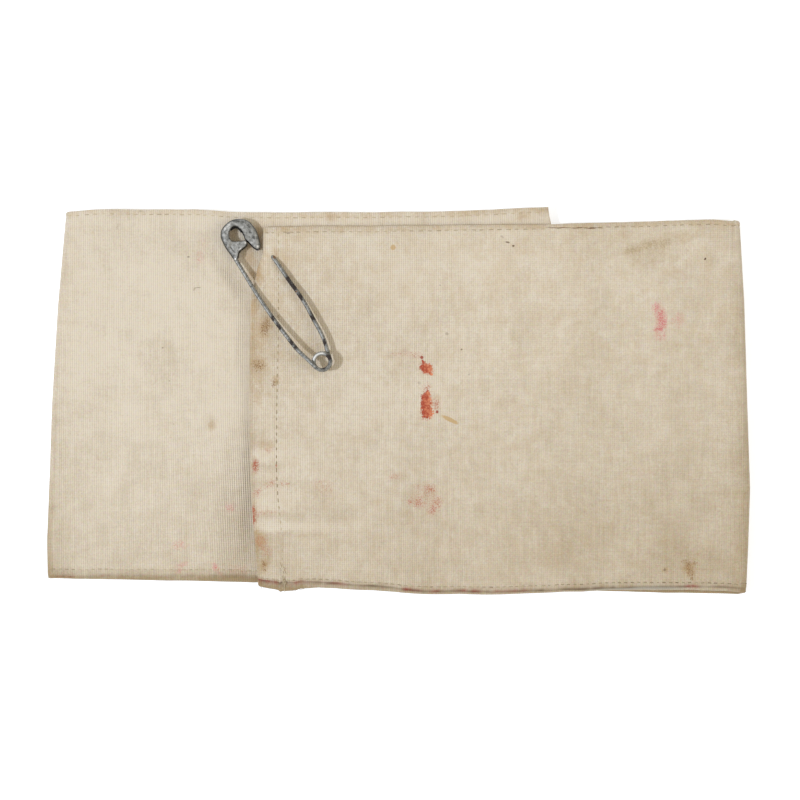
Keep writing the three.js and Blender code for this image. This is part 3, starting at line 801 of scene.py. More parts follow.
# Near the pin the cloth is yellowed more, partly as a painted warm tint of the pin's shadow; a strip of
# the left panel just above the front's top edge by the pin gets the same for that edge's shade
by_pin = np.exp(-(((px + 33) / 10) ** 2) - ((py - 30) / 18) ** 2)
front_yellow = 0.4 + 0.2 * ease(py, -20, 45) + 0.45 * high_hem + 0.4 * by_pin
left_yellow = 0.12 + 0.3 * ease(-px, 84, 94) * ease(py, 10, 35) + 0.5 * high_hem + 0.4 * by_pin
left_yellow = left_yellow + 0.3 * ease(py, 46.5, 48.5) * ease(px, -42, -34)
put_values(band, "yellowed", (seen_front * front_yellow + (1 - seen_front) * left_yellow) * (1 - lip))
bared = ease(px, 44, 62) * (1 - ease(px, 73, 82)) * ease(in_low, 0.1, 0.35)
put_values(band, "lining", lip * seen_front * bared)
put_values(band, "front_face", seen_front)
put_values(band, "left_face", seen_left)
put_values(band, "canvas", seen_front * (0.35 + 0.65 * ease(px, 5, 50)))

# Broad stains by kind, on the front and on the left panel. Columns as in blots
front_stains = {
    "faint_red": (
        (1.0, 12.9, 3.2, 1.0, 0, 0.3), (4.8, 12.4, 2.0, 1.0, 0, 0.5), (5.5, -23.4, 1.6, 1.0, 0, 0.4),
        (8.7, -24.2, 2.2, 1.6, 0, 0.6), (5.5, -27.8, 2.1, 1.9, 0), (3.2, -27.4, 1.1, 1.2, 0),
        (10.4, -28.0, 2.0, 2.2, 0), (9.2, -29.9, 1.6, 1.9, 0), (7.4, -26.6, 3.8, 2.6, 0, 0.15),
        (-1.0, -20.7, 2.0, 1.0, 10, 0.5), (10.2, -1.0, 1.6, 2.6, 0), (7.8, 3.4, 1.5, 1.6, 0),
        (-39.2, -18.2, 1.2, 2.4, 0), (-39.8, -31.6, 1.3, 3.6, 0), (-38.0, -38.5, 1.9, 1.7, 20, 0.5),
        (-36.2, -41.0, 1.6, 1.6, 0, 0.25), (-35.3, -22.7, 2.0, 1.1, 25, 0.45),
        (-38.7, -25.3, 1.6, 1.5, 30, 0.5), (-31.0, -22.7, 1.8, 0.9, 0, 0.5),
        (-20.5, -23.5, 3.0, 1.8, -25, 0.12), (-35.5, -13.4, 1.4, 1.0, 10, 0.3),
        (-36.5, -30.6, 4.5, 0.7, 0, 0.4),
    ),
    "pink": (
        (71.0, 25.7, 1.3, 1.6, 0), (72.1, 23.7, 1.7, 1.9, 0), (72.6, 21.6, 1.7, 1.9, 0),
        (71.7, 19.8, 1.5, 1.5, 0), (77.0, 22.3, 1.4, 2.0, 0, 0.05), (72.0, 18.0, 1.6, 1.6, 0, 0.1),
    ),
    # Rust, and brown painted shadow of the pin along the front's end edge
    "rust_and_pin_shadow": (
        (-37.0, 20.3, 2.2, 4.2, -12), (-38.7, 10.3, 2.6, 2.6, 0), (-38.8, 13.0, 1.8, 12.0, 0, 0.15),
        (-33.6, 5.6, 0.9, 1.5, 0), (-36.8, -44.8, 1.4, 2.4, -8), (-39.4, 26.0, 1.2, 3.0, 0, 0.5),
        (-38.4, 1.0, 1.2, 2.4, 0, 0.3), (80.1, -46.0, 2.0, 2.4, 0), (73.2, -46.6, 0.9, 0.9, 0),
        (-38.6, 35.5, 1.1, 4.0, 18), (-33.8, 40.3, 1.0, 1.4, 20, 0.4), (-38.0, -38.0, 2.0, 3.0, 0),
        (-36.5, -12.0, 2.2, 1.4, 0, 0.15),
    ),
    "smudge": (
        (64.6, 41.5, 3.8, 1.8, 10), (69.6, 43.0, 3.8, 1.8, 12), (73.0, 43.4, 3.2, 1.5, 10),
        (68.5, 40.4, 5.4, 2.4, 0, 0.1), (78.6, 45.2, 3.6, 1.5, 5, 0.1),
    ),
}
left_stains = {
    "faint_red": (
        (-43.8, -46.4, 2.4, 1.5, 0, 0.1), (-49.9, -46.4, 0.7, 0.8, 0), (-48.8, -47.7, 0.9, 0.7, 0),
        (-60.6, -47.3, 0.9, 0.6, 0),
    ),
    "pink": (
        (-50.4, -45.8, 0.8, 1.5, 20), (-59.4, -45.0, 1.7, 0.7, 15, 0.12),
        (-60.4, -46.6, 0.9, 0.6, 10, 0.3), (-60.2, -39.8, 2.0, 1.2, 0, 0.02),
        (-46.3, -29.3, 1.6, 1.2, 0, 0.15), (-53.4, 43.2, 1.1, 1.4, 0, -0.2),
        (-54.6, 39.4, 1.2, 1.6, 0, 0.0),
    ),
    # Rust, and brown painted shadow of the pin round the cap
    "rust_and_pin_shadow": (
        (-51.4, -6.7, 1.1, 1.5, 0), (-41.0, 39.6, 1.8, 3.8, 12), (-45.6, 45.6, 1.6, 2.4, 0),
        (-38.4, 46.0, 2.0, 3.8, 0), (-40.6, 42.6, 1.2, 2.0, 0), (-18.3, 50.6, 1.6, 1.5, 0),
        (-40.4, 34.4, 1.2, 2.4, 20), (34.3, 50.7, 1.8, 1.3, 10),
    ),
    "smudge": (),
}
clear = -1.5
for kind, front_blots in front_stains.items():
    depth = np.where(seen_front > 0.5, blots(front_blots, px, py), clear)
    depth = np.where(seen_left > 0.5, blots(left_stains[kind], px, py), depth)
    put_values(band, kind, depth)

# The crease of the rolled hem is darker, with dirt and painted shade, more on the front
crease_dirt_and_shade = 0.18 + 0.46 * seen_front * (1 - 0.4 * ease(px, 55, 75))
crease_dirt_and_shade = crease_dirt_and_shade * np.exp(-(((in_low - 1.05) / 0.38) ** 2))
put_values(band, "crease_grime_and_shade", np.clip(crease_dirt_and_shade * (0.8 + 0.5 * rumple(px, 0 * px, 1.5, 23)), 0, 1))
# Red paint that has run along the creases: from x, to x, strength
red_runs = ((-38.4, -32.8, 1.0), (-29.2, -26.6, 0.9), (-26.6, -23.5, 0.4), (-22.0, -19.6, 0.6),
            (-18.4, -15.6, 0.95), (-15.2, -13.8, 0.5), (1.0, 6.4, 1.0), (8.8, 11.2, 0.7),
            (15.8, 18.6, 0.95), (19.8, 23.0, 0.9), (24.5, 36.0, 0.55), (79.3, 82.3, 1.0),
            (-94.3, -89.4, 0.95), (-82.6, -80.8, 0.8))
red = np.zeros(len(px))
for from_x, to_x, strength in red_runs:
    within = ease(px, from_x - 0.5, from_x + 0.5) * (1 - ease(px, to_x - 0.5, to_x + 0.5))
    red = red + strength * within * (0.55 + 0.45 * rumple(px, 0 * px, 1.1, 21))
red_reach = 0.42 - 0.2 * seen_left
red = red * np.exp(-(((in_low - 1.12 + 0.3 * seen_left) / red_reach) ** 2))
put_values(band, "seam_red", np.clip(red, 0, 1))

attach(band, "root")
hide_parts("band")

# The stitches: white cotton thread, yellowed, one lockstitch row near each long edge and one
# across the stitched end. Each stitch is a short bead that dips into the cloth at both ends.
thread_radius = 0.1


def rods(paths, radii, sides):
    """Closed round rods along paths: an array of paths, points, xyz, and the radii at their points"""
    paths = np.asarray(paths, float)
    number, length = paths.shape[:2]
    radii = np.broadcast_to(radii, (number, length))
    tangents = np.gradient(paths, axis=1)
    tangents /= np.linalg.norm(tangents, axis=2, keepdims=True)
    sideways = np.cross(tangents, (0.0, 0.0, 1.0))
    sideways /= np.linalg.norm(sideways, axis=2, keepdims=True)
    upward = np.cross(sideways, tangents)
    angles = 2 * np.pi * np.arange(sides) / sides
    spokes = sideways[:, :, None] * np.cos(angles)[:, None] + upward[:, :, None] * np.sin(angles)[:, None]
    rings = paths[:, :, None] + spokes * radii[:, :, None, None]
    each = length * sides + 2
    points = np.concatenate([rings.reshape(number, -1, 3), paths[:, :1], paths[:, -1:]], axis=1)
    k = np.arange(sides)
    after = (k + 1) % sides
    start = (np.arange(length - 1) * sides)[:, None]
    quads = np.stack([start + k, start + sides + k, start + sides + after, start + after], -1)
    quads = quads.reshape(-1, 4)
    last = (length - 1) * sides
    first_cap = np.stack([np.full(sides, length * sides), k, after], -1)
    last_cap = np.stack([np.full(sides, length * sides + 1), last + after, last + k], -1)
    faces = []
    for first in range(0, number * each, each):
        for part in (quads, first_cap, last_cap):
            faces += (part + first).tolist()
    return points.reshape(-1, 3), faces


# Each stitch has seven points along it, which dip into the cloth at both ends and lean a little
along_stitch = np.linspace(0, 1, 7)
stitch_dip = np.array([-0.22, 0.02, 0.07, 0.09, 0.07, 0.02, -0.22])


def stitches_at(s, across, luck, sunken=0.08):
    """Paths of stitches that lie on the strip. One in five is sunken by so much"""
    on = strip_face(s, across)
    lift = stitch_dip + 0.02 * luck.uniform(-1, 1, (len(s), 1))
    lift = lift - sunken * (luck.uniform(0, 1, (len(s), 1)) < 0.2)
    tilt = luck.uniform(-0.09, 0.09, (len(s), 1)) * (2 * along_stitch - 1)
    return np.stack([on["x"] + on["out_x"] * lift, on["y"] + tilt, on["z"] + on["out_z"] * lift], -1)


def stitch_row(s_from, s_to, across_of, pitch, seed):
    """Paths of the stitches of one row that runs along the strip"""
    luck = np.random.default_rng(seed)
    starts = np.arange(s_from, s_to - pitch, pitch)
    starts = starts + luck.uniform(-0.12, 0.12, len(starts))
    lengths = pitch * luck.uniform(0.52, 0.7, len(starts))
    s = starts[:, None] + lengths[:, None] * along_stitch
    return stitches_at(s, across_of(s), luck)


def low_stitch_across(s):
    """Where the low hem's stitches lie, as a part of the way across"""
    low, high = edges(s)
    return seams(s)[1] / (high - low)


def high_stitch_across(s):
    """The same for the high hem"""
    low, high = edges(s)
    return 1 - seams(s)[2] / (high - low)


low_pitch = 1.8
high_pitch = 2.4
stitch_paths = [
    stitch_row(1.2, strip_length - 1.5, low_stitch_across, low_pitch, 31),
    stitch_row(1.0, strip_length - 1.5, high_stitch_across, high_pitch, 32),
]

# The row across the end: its stitches run across the strip, so each place along is worked back
# from the x that the seam has there
luck = np.random.default_rng(33)
end_pitch = 2.0
seam_starts = np.arange(2.4, 97.0, end_pitch)
seam_starts = seam_starts + luck.uniform(-0.15, 0.15, len(seam_starts))
seam_lengths = end_pitch * luck.uniform(0.5, 0.68, len(seam_starts))
width_at_end = 99.5
across_end = (seam_starts[:, None] + seam_lengths[:, None] * along_stitch) / width_at_end
seam_y = -51.5 + width_at_end * across_end
lean_there = table_at(end_lean, across_end)
lean_share = lean_there / end_lean_reach
seam_plain_x = (table_at(end_seam, seam_y) - lean_there - lean_share * end_a_x) / (1 - lean_share)
stitch_paths.append(stitches_at(seam_plain_x - end_a_x, across_end, luck, 0.0))

# White cotton sewing thread, matt and twisted of two plies, which gives a faint slanting grain. It
# is yellowed with age, dark where it holds soil, and bleached where it is rubbed.
thread, tree, shader = new_material("cotton_sewing_thread")
place = add_node("Attribute", output="Vector", attribute_name="place")
sunk = add_node("Attribute", output="Fac", attribute_name="sunk")
yellowed = laid_over("#ddd1b6", "#c4b48f", cloudy(place, 0.3, 2.0, 0.55))
yellowed = laid_over(yellowed, "#5e4526", sunk)
rubbed_white = add_node("Math", (sunk, -5.0), operation="MULTIPLY", use_clamp=True)
twist_pitch = 0.5
twist_sockets = {"Vector": place, "Scale": one_wave / twist_pitch}
twist = add_node("TexWave", twist_sockets, "Fac", bands_direction="DIAGONAL")
feed(shader, {
    "Base Color": laid_over(yellowed, "#ece4d3", rubbed_white),
    "Roughness": 0.85,
    "Specular IOR Level": 0.25,
    "Normal": add_node("Bump", {"Strength": 0.5, "Distance": 0.04 * mm, "Height": twist}),
})

all_stitches = np.concatenate(stitch_paths)
slim_ends = thread_radius * np.array([0.6, 0.95, 1, 1, 1, 0.95, 0.6])
stitch_sides = 6
stitch_points, stitch_faces = rods(all_stitches, slim_ends, stitch_sides)
stitches = new_piece("hem_stitches", stitch_points, stitch_faces, thread)
put_values(stitches, "place", stitch_points)
# Soil makes the thread dark: most of all in the end's seam, above the stretch that is worn white. Each
# stitch of the long rows is also darker towards its ends, where it dips into the cloth
plain_paths = np.concatenate(stitch_paths[:2])
hole_dark = np.array([1.0, 0.9, 0.7, 0.6, 0.7, 0.9, 1.0])
plain_dark = np.concatenate([np.repeat(hole_dark, stitch_sides), [1.0, 1.0]])
middle_x, middle_y, _ = plain_paths[:, 3].T
plain_soil = luck.uniform(0.1, 0.65, len(plain_paths)) + 0.25 * ease(middle_x, 30, 80)
plain_soil = plain_soil + 0.3 * ease(-middle_y, 46.5, 47.5) * ease(middle_x, -41, -40)
washed = 0.7 * ease(middle_y, 48.6, 49.6) * luck.uniform(0.3, 1.3, len(plain_paths))
plain_soil = plain_soil * (1 - washed)
seam_dark = ((-53.0, -0.03), (-34.0, -0.06), (-30.0, 0.15), (-25.0, 0.6), (-5.0, 0.62), (2.0, 0.4),
             (15.0, 0.3), (21.0, 0.14), (23.0, 0.42), (26.0, 0.42), (28.0, 0.12), (50.0, 0.06))
end_values = 0.85 * table_at(seam_dark, seam_y[:, 3])[:, None] * np.ones(len(plain_dark))
plain_values = plain_soil[:, None] * plain_dark
put_values(stitches, "sunk", np.concatenate([plain_values, end_values]).reshape(-1))
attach(stitches, "root")

# Loose ends: tails of sewing thread at the foot of the end's seam, short frayed fibres along the
# edge beside it, and two stray fibres that lie on the left panel.
luck = np.random.default_rng(41)
tail_steps = 24
loose_sides = 6


def tail(points, steps=tail_steps):
    """A smooth path of steps points through a few points"""
    points = np.asarray(points, float)
    t = np.linspace(0, len(points) - 1, steps)
    k = np.minimum(t.astype(int), len(points) - 2)
    f = (t - k)[:, None]
    a, b = points[k], points[k + 1]
    before = points[np.maximum(k - 1, 0)]
    after = points[np.minimum(k + 2, len(points) - 1)]
    return 0.5 * (2 * a + (b - before) * f + (2 * before - 5 * a + 4 * b - after) * f**2
                  + (3 * a - before - 3 * b + after) * f**3)


thread_tails = [
    tail([(-32.6, -44.4, 5.25), (-32.3, -45.6, 5.45), (-31.5, -46.6, 5.4), (-31.0, -47.5, 5.3)]),
    tail([(-31.9, -45.6, 5.25), (-31.5, -46.1, 5.5), (-31.9, -46.9, 5.45), (-31.3, -47.4, 5.3)]),
    tail([(-31.9, -47.9, 5.2), (-31.8, -49.2, 5.3), (-31.6, -50.6, 4.9), (-31.9, -52.1, 4.5)]),
    tail([(-31.3, -48.2, 5.2), (-31.4, -49.6, 5.3), (-31.2, -50.9, 4.9), (-31.4, -52.6, 4.4)]),
    tail([(-31.6, -48.6, 5.2), (-31.0, -49.9, 5.3), (-31.5, -51.2, 4.8), (-31.0, -52.3, 4.4)]),
]
# From x, to x and how many: two bunches by the seam, and one at the right fold
fray_runs = ((-31.2, -25.8, 26), (-39.0, -31.0, 8), (88.0, 94.5, 16))
fray_x = np.concatenate([luck.uniform(*run) for run in fray_runs])
frayed = []
for x0 in fray_x:
    edge_y = table_at(front_rows, x0, 1) + 0.2
    reach = luck.uniform(0.3, 0.8)
    drift = luck.uniform(-0.35, 0.35)
    z0 = 4.2 if x0 < 0 else 1.2
    frayed.append(tail([
        (x0, edge_y, z0), (x0 + 0.3 * drift, edge_y - 0.4 * reach, z0 - 0.1),
        (x0 + drift, edge_y - reach, z0 + luck.uniform(-0.25, 0.2)),
    ]))
stray = [
    tail([(-77.5, 48.6, 3.75), (-77.1, 48.5, 3.9), (-77.2, 48.0, 3.85), (-77.6, 47.6, 3.85),
          (-77.6, 47.0, 3.7)]),
    tail([(-56.3, 30.3, 3.55), (-56.2, 30.9, 3.75), (-55.5, 31.1, 3.75), (-54.5, 31.1, 3.62)]),
]
loose_paths = np.array(thread_tails + frayed + stray)
loose_radii = np.repeat((0.07, 0.04, 0.045), (len(thread_tails), len(frayed), len(stray)))[:, None]
loose_points, loose_faces = rods(loose_paths, loose_radii, loose_sides)
loose = new_piece("loose_threads", loose_points, loose_faces, thread)
put_values(loose, "place", loose_points)
tail_soil = [-0.12, -0.1, 0.15, 0.1, 0.2]
fray_soil = [0.1 if x0 < 0 else 0.6 for x0 in fray_x]
stray_soil = [0.35, 0.7]
put_values(loose, "sunk", np.repeat(tail_soil + fray_soil + stray_soil, tail_steps * loose_sides + 2))
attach(loose, "root")

# The safety pin's wire: steel wire 1.1 mm thick with a dull plating, worn through to dark and rusty
# patches. It is bent round into a coil of one and a half turns and drawn to a point.
wire_radius = 0.55
coil_centre = (-20.87, 10.75)
coil_radius = 2.28
fixed_arm = (
    (-47.0, 43.3, 4.98), (-45.9, 41.1, 5.0), (-44.5, 38.6, 5.15), (-41.7, 34.0, 5.8), (-38.9, 29.4, 6.2),
    (-35.6, 24.5, 6.7), (-33.6, 21.7, 7.0), (-30.1, 17.1, 7.55), (-27.5, 13.9, 8.0), (-23.9, 10.5, 8.55),
)
free_arm = (
    (-19.5, 13.9, 7.1), (-20.1, 16.0, 7.1), (-21.3, 18.8, 7.05), (-22.9, 21.7, 6.95), (-25.3, 26.2, 6.7),
    (-27.35, 29.4, 6.5), (-29.9, 32.9, 6.3), (-32.0, 36.0, 6.2), (-33.8, 38.6, 5.9), (-34.8, 40.0, 5.05),
    (-35.9, 42.0, 4.1),
)
coil_top = 8.7
coil_drop = 1.55
coil_steps = 23
coil_angles = np.radians(np.linspace(-134, 388, coil_steps))
coil = np.stack([
    coil_centre[0] + coil_radius * np.cos(coil_angles),
    coil_centre[1] + coil_radius * np.sin(coil_angles),
    coil_top - coil_drop * np.linspace(0, 1, coil_steps),
], -1)
wire_knots = np.concatenate([fixed_arm, coil, free_arm]) + (0, origin_y, 0)
steps_per_knot = 9
wire_path = tail(wire_knots, steps_per_knot * len(wire_knots))
to_point = np.cumsum(np.linalg.norm(np.diff(wire_path[::-1], axis=0), axis=1))
to_point = np.concatenate([[0.0], to_point])[::-1]
point_length = 2.4
point_radius = 0.42
slim = point_radius + (wire_radius - point_radius) * np.sqrt(np.clip(to_point / point_length, 0, 1))
wire_sides = 20
wire_points, wire_faces = rods(wire_path[None], slim[None], wire_sides)

# Drawn steel wire with a dull white plating: grey and half bright, mottled, with dark bare patches
# that reflect little, brown rust in a few, and a painted highlight along the top of the coil.
pin_steel, tree, shader = new_material("plated_steel_wire")
place = add_node("Attribute", output="Vector", attribute_name="place")
charts = ("worn", "rusty", "painted_highlight")
chart = {name: add_node("Attribute", output="Fac", attribute_name=name) for name in charts}
plating = laid_over("#454644", "#bbbcb8", cloudy(place, 1.5, 5.0, 0.8, 3.2, -1.1, clamp=True))
ragged = cloudy(place, 1.5, 4.0, 0.75, 7.0, -3.7)
worn = add_node("Math", (chart["worn"], ragged), operation="ADD")
worn = add_node("Math", (worn, 2.5, 0.9), operation="MULTIPLY_ADD", use_clamp=True)
pinholes = cloudy(place, 2.8, 3.0, 0.7, 9.0, -5.6, clamp=True)
pinholes = add_node("Math", (pinholes, 0.75), operation="MULTIPLY")
worn = add_node("Math", (worn, pinholes), operation="MAXIMUM")
rusty = summed(chart["rusty"], ((ragged, 0.5),))
rusty = add_node("Math", (rusty, 3.0, 0.3), operation="MULTIPLY_ADD", use_clamp=True)
finish = laid_over(plating, "#332b29", worn)
finish = laid_over(finish, "#7d5f45", rusty)
dulled = add_node("Math", (worn, rusty), operation="MAXIMUM")
less_metal = add_node("Math", (dulled, 0.7), operation="MULTIPLY")
feed(shader, {
    # A painted highlight, near white, along the coil
    "Base Color": laid_over(finish, "#f2f2ef", chart["painted_highlight"], 0.9),
    "Metallic": add_node("Math", (0.7, less_metal), operation="SUBTRACT", use_clamp=True),
    "Roughness": add_node("Math", (dulled, 0.3, 0.55), operation="MULTIPLY_ADD"),
    "Normal": add_node("Bump", {0: 0.8, "Distance": 0.08 * mm, "Height": cloudy(place, 2.2, 4.0, 0.75)}),
})

# Where the plating has gone: x, y, half length, half width, turn in degrees
worn_patches = (
    (-28.9, 31.3, 1.2, 1.7, 0), (-30.2, 33.2, 1.0, 1.2, 0), (-27.0, 28.6, 0.8, 1.0, 0),
    (-23.5, 22.9, 0.9, 1.3, 0), (-18.9, 11.8, 0.8, 1.1, 0), (-34.5, 22.5, 0.7, 0.8, 0),
    (-32.8, 20.2, 0.7, 0.9, 0), (-29.3, 15.9, 0.8, 0.9, 0), (-28.1, 14.6, 0.6, 0.8, 0),
    (-20.4, 8.9, 0.6, 0.4, 0), (-20.3, 15.8, 0.5, 1.0, 0),
)
rust_patches = ((-27.8, 29.9, 0.3, 0.35, 0), (-33.9, 39.5, 0.45, 0.6, 0))
wire = new_piece("pin_wire_bent", wire_points, wire_faces, pin_steel)
put_values(wire, "place", wire_points)
put_values(wire, "worn", blots(worn_patches, wire_points[:, 0], wire_points[:, 1]))
put_values(wire, "rusty", blots(rust_patches, wire_points[:, 0], wire_points[:, 1]))
# A painted highlight runs along the top of the coil's upper left stretch
from_coil = wire_points[:, :2] - (coil_centre[0], coil_centre[1] + origin_y)
coil_turn = np.degrees(np.arctan2(from_coil[:, 1], from_coil[:, 0]))
coil_highlight = np.exp(-(((np.linalg.norm(from_coil, axis=1) - coil_radius) / 0.32) ** 2))
coil_highlight = coil_highlight * ease(coil_turn, 65, 90) * (1 - ease(coil_turn, 160, 179))
put_values(wire, "painted_highlight", coil_highlight)
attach(wire, "root")
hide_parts("pin_wire")

# The safety pin's cap: thin plated steel sheet, folded over and pressed into a guard with an
# open arch, a pocket for the point and a crimp that holds the fixed arm.
cap_centre = (-43.85, 44.4 + origin_y, 4.98)
cap_half = 1.3
# Its outline, x and y from its middle: each run is a smooth curve, and a sharp corner ends it
cap_folded_side = (
    ((-0.76, -6.74), (-1.52, -5.44), (-2.43, -4.07), (-3.35, -2.85), (-4.11, -1.48), (-4.72, -0.11),
     (-4.98, 1.1)),
    ((-4.98, 1.1), (-4.79, 2.32), (-4.18, 3.39), (-3.19, 4.38), (-1.98, 5.14), (-0.6, 5.52), (0.77, 5.52),
     (1.98, 5.29), (3.05, 4.68), (3.96, 3.7), (4.73, 2.63), (5.33, 1.26), (5.72, -0.26)),
    ((5.72, -0.26), (6.02, -1.48), (6.02, -2.24), (5.8, -2.75), (5.49, -2.93)),
)
cap_cut_side = (
    ((5.49, -2.93), (5.03, -2.78), (4.12, -2.24), (3.36, -1.41), (2.67, -0.72), (1.98, -0.11),
     (1.68, 0.65), (1.22, 1.72), (0.61, 2.63)),
    ((0.61, 2.63), (-0.45, 3.39), (-1.21, 3.47), (-1.98, 2.93), (-2.51, 1.87), (-2.58, 1.26),
     (-2.36, 0.19)),
    ((-2.36, 0.19), (-1.82, -0.6)),
    ((-1.82, -0.6), (-0.6, -0.64), (0.46, -0.57), (1.68, -0.42)),
    ((1.68, -0.42), (2.06, -0.57), (2.36, -1.18), (2.06, -1.94)),
    ((2.06, -1.94), (1.07, -2.7), (0.23, -3.46), (0.0, -4.07), (-0.15, -4.83)),
    ((-0.15, -4.83), (-0.76, -6.74)),
)
outline_step = 0.16
grid_step = 0.2


def smooth_run(pieces):
    """Points at even steps along runs of smooth curves, without the last one"""
    parts = []
    for piece in pieces:
        flat_points = np.array([(x, y, 0.0) for x, y in piece])
        size = np.linalg.norm(np.diff(flat_points, axis=0), axis=1).sum()
        parts.append(tail(flat_points, max(3, int(size / outline_step) + 1))[:-1, :2])
    return np.concatenate(parts)


folded_line = smooth_run(cap_folded_side)
cut_line = smooth_run(cap_cut_side)
outline = np.concatenate([folded_line, cut_line])


def away_from(line, points):
    """Distance of points from an open line of short steps"""
    a, b = line[:-1], line[1:]
    step = b - a
    t = np.einsum("pak,ak->pa", points[:, None] - a, step) / np.maximum((step**2).sum(1), 1e-9)
    nearest = a + np.clip(t, 0, 1)[..., None] * step
    return np.linalg.norm(points[:, None] - nearest, axis=2).min(1)


folded_edge = np.concatenate([folded_line, cut_line[:1]])
cut_edge = np.concatenate([cut_line, folded_line[:1]])
whole_edge = np.concatenate([outline, outline[:1]])
grid = np.meshgrid(np.arange(-6, 6.3, grid_step), np.arange(-6.8, 6.8, grid_step))
grid = np.stack(grid, -1).reshape(-1, 2)
grid = grid[away_from(whole_edge, grid) > outline_step]
edge_way = np.roll(outline, -1, axis=0) - np.roll(outline, 1, axis=0)
edge_way /= np.linalg.norm(edge_way, axis=1, keepdims=True)
inward = np.stack([edge_way[:, 1], -edge_way[:, 0]], -1)
rings = []
for depth in (0.03, 0.08):
    ring = outline + inward * depth
    rings.append(ring[away_from(whole_edge, ring) > 0.9 * depth])
flat_points = np.concatenate([outline, *rings, grid])
count = len(outline)
loop = [(i, (i + 1) % count) for i in range(count)]
inside_only = 1
same_point = 1e-6
laid_out = delaunay_2d_cdt([tuple(p) for p in flat_points], loop, [], inside_only, same_point)
cap_flat = np.array([(p.x, p.y) for p in laid_out[0]])
cap_triangles = np.array(laid_out[2])
# Every triangle turns the same way round, seen from above
first_side = cap_flat[cap_triangles[:, 1]] - cap_flat[cap_triangles[:, 0]]
other_side = cap_flat[cap_triangles[:, 2]] - cap_flat[cap_triangles[:, 0]]
turned = first_side[:, 0] * other_side[:, 1] - first_side[:, 1] * other_side[:, 0] <= 0
cap_triangles[turned] = cap_triangles[turned][:, (0, 2, 1)]
cap_x, cap_y = cap_flat.T
from_fold = away_from(folded_edge, cap_flat)
from_cut = away_from(cut_edge, cap_flat)
on_edge = np.minimum(from_fold, from_cut) < 1e-5
bulge = cap_half * np.minimum(closing(from_fold, 1.15), closing(from_cut, 0.22))
crimp_slit = np.array([(-2.15, -2.2), (-1.8, -2.65), (-1.4, -3.3), (-0.85, -3.75)])
slit = 0.1 * np.exp(-((away_from(crimp_slit, cap_flat) / 0.14) ** 2))
# The tongue and the crimp below it are pressed a little lower than the arch
tongue_edge = 0.9 * (cap_x + 2.2) - 0.3 * (cap_y + 1.0)
tongue = 0.3 * ease(tongue_edge, -0.2, 0.5) * ease(-cap_y, 0.3, 0.9) * ease(3 - cap_x, 0, 0.5)
dished = 0.16 * np.exp(-(((cap_x - 3.6) / 1.3) ** 2) - ((cap_y - 0.5) / 2.2) ** 2)
upper = np.where(on_edge, 0.0, bulge - (slit + tongue + dished) * (bulge / cap_half))
lower = np.where(on_edge, 0.0, -bulge)
# The lower leaf stands out a little under the arch, the lobe and the tongue, where it is painted black as
# shade
lobe_cut = smooth_run(cap_cut_side[:1])
arch_cut = smooth_run(cap_cut_side[1:2])[1:18]
tongue_cut = smooth_run(cap_cut_side[4:6])
hollow_cuts = ((lobe_cut, (-0.62, -0.78), 0.32), (arch_cut, (0.1, -1.0), 0.55),
               (tongue_cut, (0.62, -0.78), 0.22))
ledge = np.zeros_like(cap_flat)
for line, way, reach in hollow_cuts:
    near = 1 - ease(away_from(line, cap_flat), 0.05, 1.0)
    ledge = near[:, None] * reach * np.array(way) + ledge
cap_middle = np.array(cap_centre[:2])
upper_plan = cap_flat + cap_middle + ledge * on_edge[:, None]
cap_upper = np.column_stack([upper_plan, cap_centre[2] + upper])
cap_lower = np.column_stack([cap_flat + cap_middle + ledge, cap_centre[2] + lower])
number_up = len(cap_upper)
lower_index = np.where(on_edge, np.arange(number_up), number_up + np.cumsum(~on_edge) - 1)
cap_points = np.concatenate([cap_upper, cap_lower[~on_edge]])
cap_faces = cap_triangles.tolist() + lower_index[cap_triangles][:, ::-1].tolist()

# Pressed steel sheet with the same dull plating: softer and greyer than the wire, tarnished in
# specks, with painted shade at its folded rim and in its hollows, and painted highlights at its upper
# left and on a few edges.
cap_steel, tree, shader = new_material("plated_steel_sheet")
place = add_node("Attribute", output="Vector", attribute_name="place")
charts = ("tarnished", "rim", "painted_highlight", "hollow")
chart = {name: add_node("Attribute", output="Fac", attribute_name=name) for name in charts}
plating = laid_over("#666764", "#cbccc9", cloudy(place, 1.0, 5.0, 0.8, 3.0, -1.0, clamp=True))
tarnish = cloudy(place, 0.9, 5.0, 0.7, 9.0, -5.0, clamp=True)
tarnish = add_node("Math", (tarnish, 0.6), operation="MULTIPLY")
specky = cloudy(place, 2.0, 4.0, 0.7, 10.0, -5.9)
specky = add_node("Math", (chart["tarnished"], 2.2, specky), operation="MULTIPLY_ADD", use_clamp=True)
tarnish = add_node("Math", (tarnish, specky), operation="MAXIMUM")
finish = laid_over(plating, "#30302c", tarnish, 0.7)
# Painted shade along the folded rim
finish = laid_over(finish, "#3d3d3b", chart["rim"])
# Painted highlight: near white where the spots and streaks say, and a little less rough there
streaky = cloudy(place, 1.6, 4.0, 0.75, 3.6, -1.6)
painted_glint = add_node("Math", (chart["painted_highlight"], streaky), operation="ADD")
painted_glint = add_node("Math", (painted_glint, 1.1, -0.05), operation="MULTIPLY_ADD", use_clamp=True)
near_spot = add_node("Math", (chart["painted_highlight"], -0.4), operation="GREATER_THAN")
painted_glint = add_node("Math", (painted_glint, near_spot), operation="MULTIPLY")
finish = laid_over(finish, "#f2f2ef", painted_glint, 0.9)
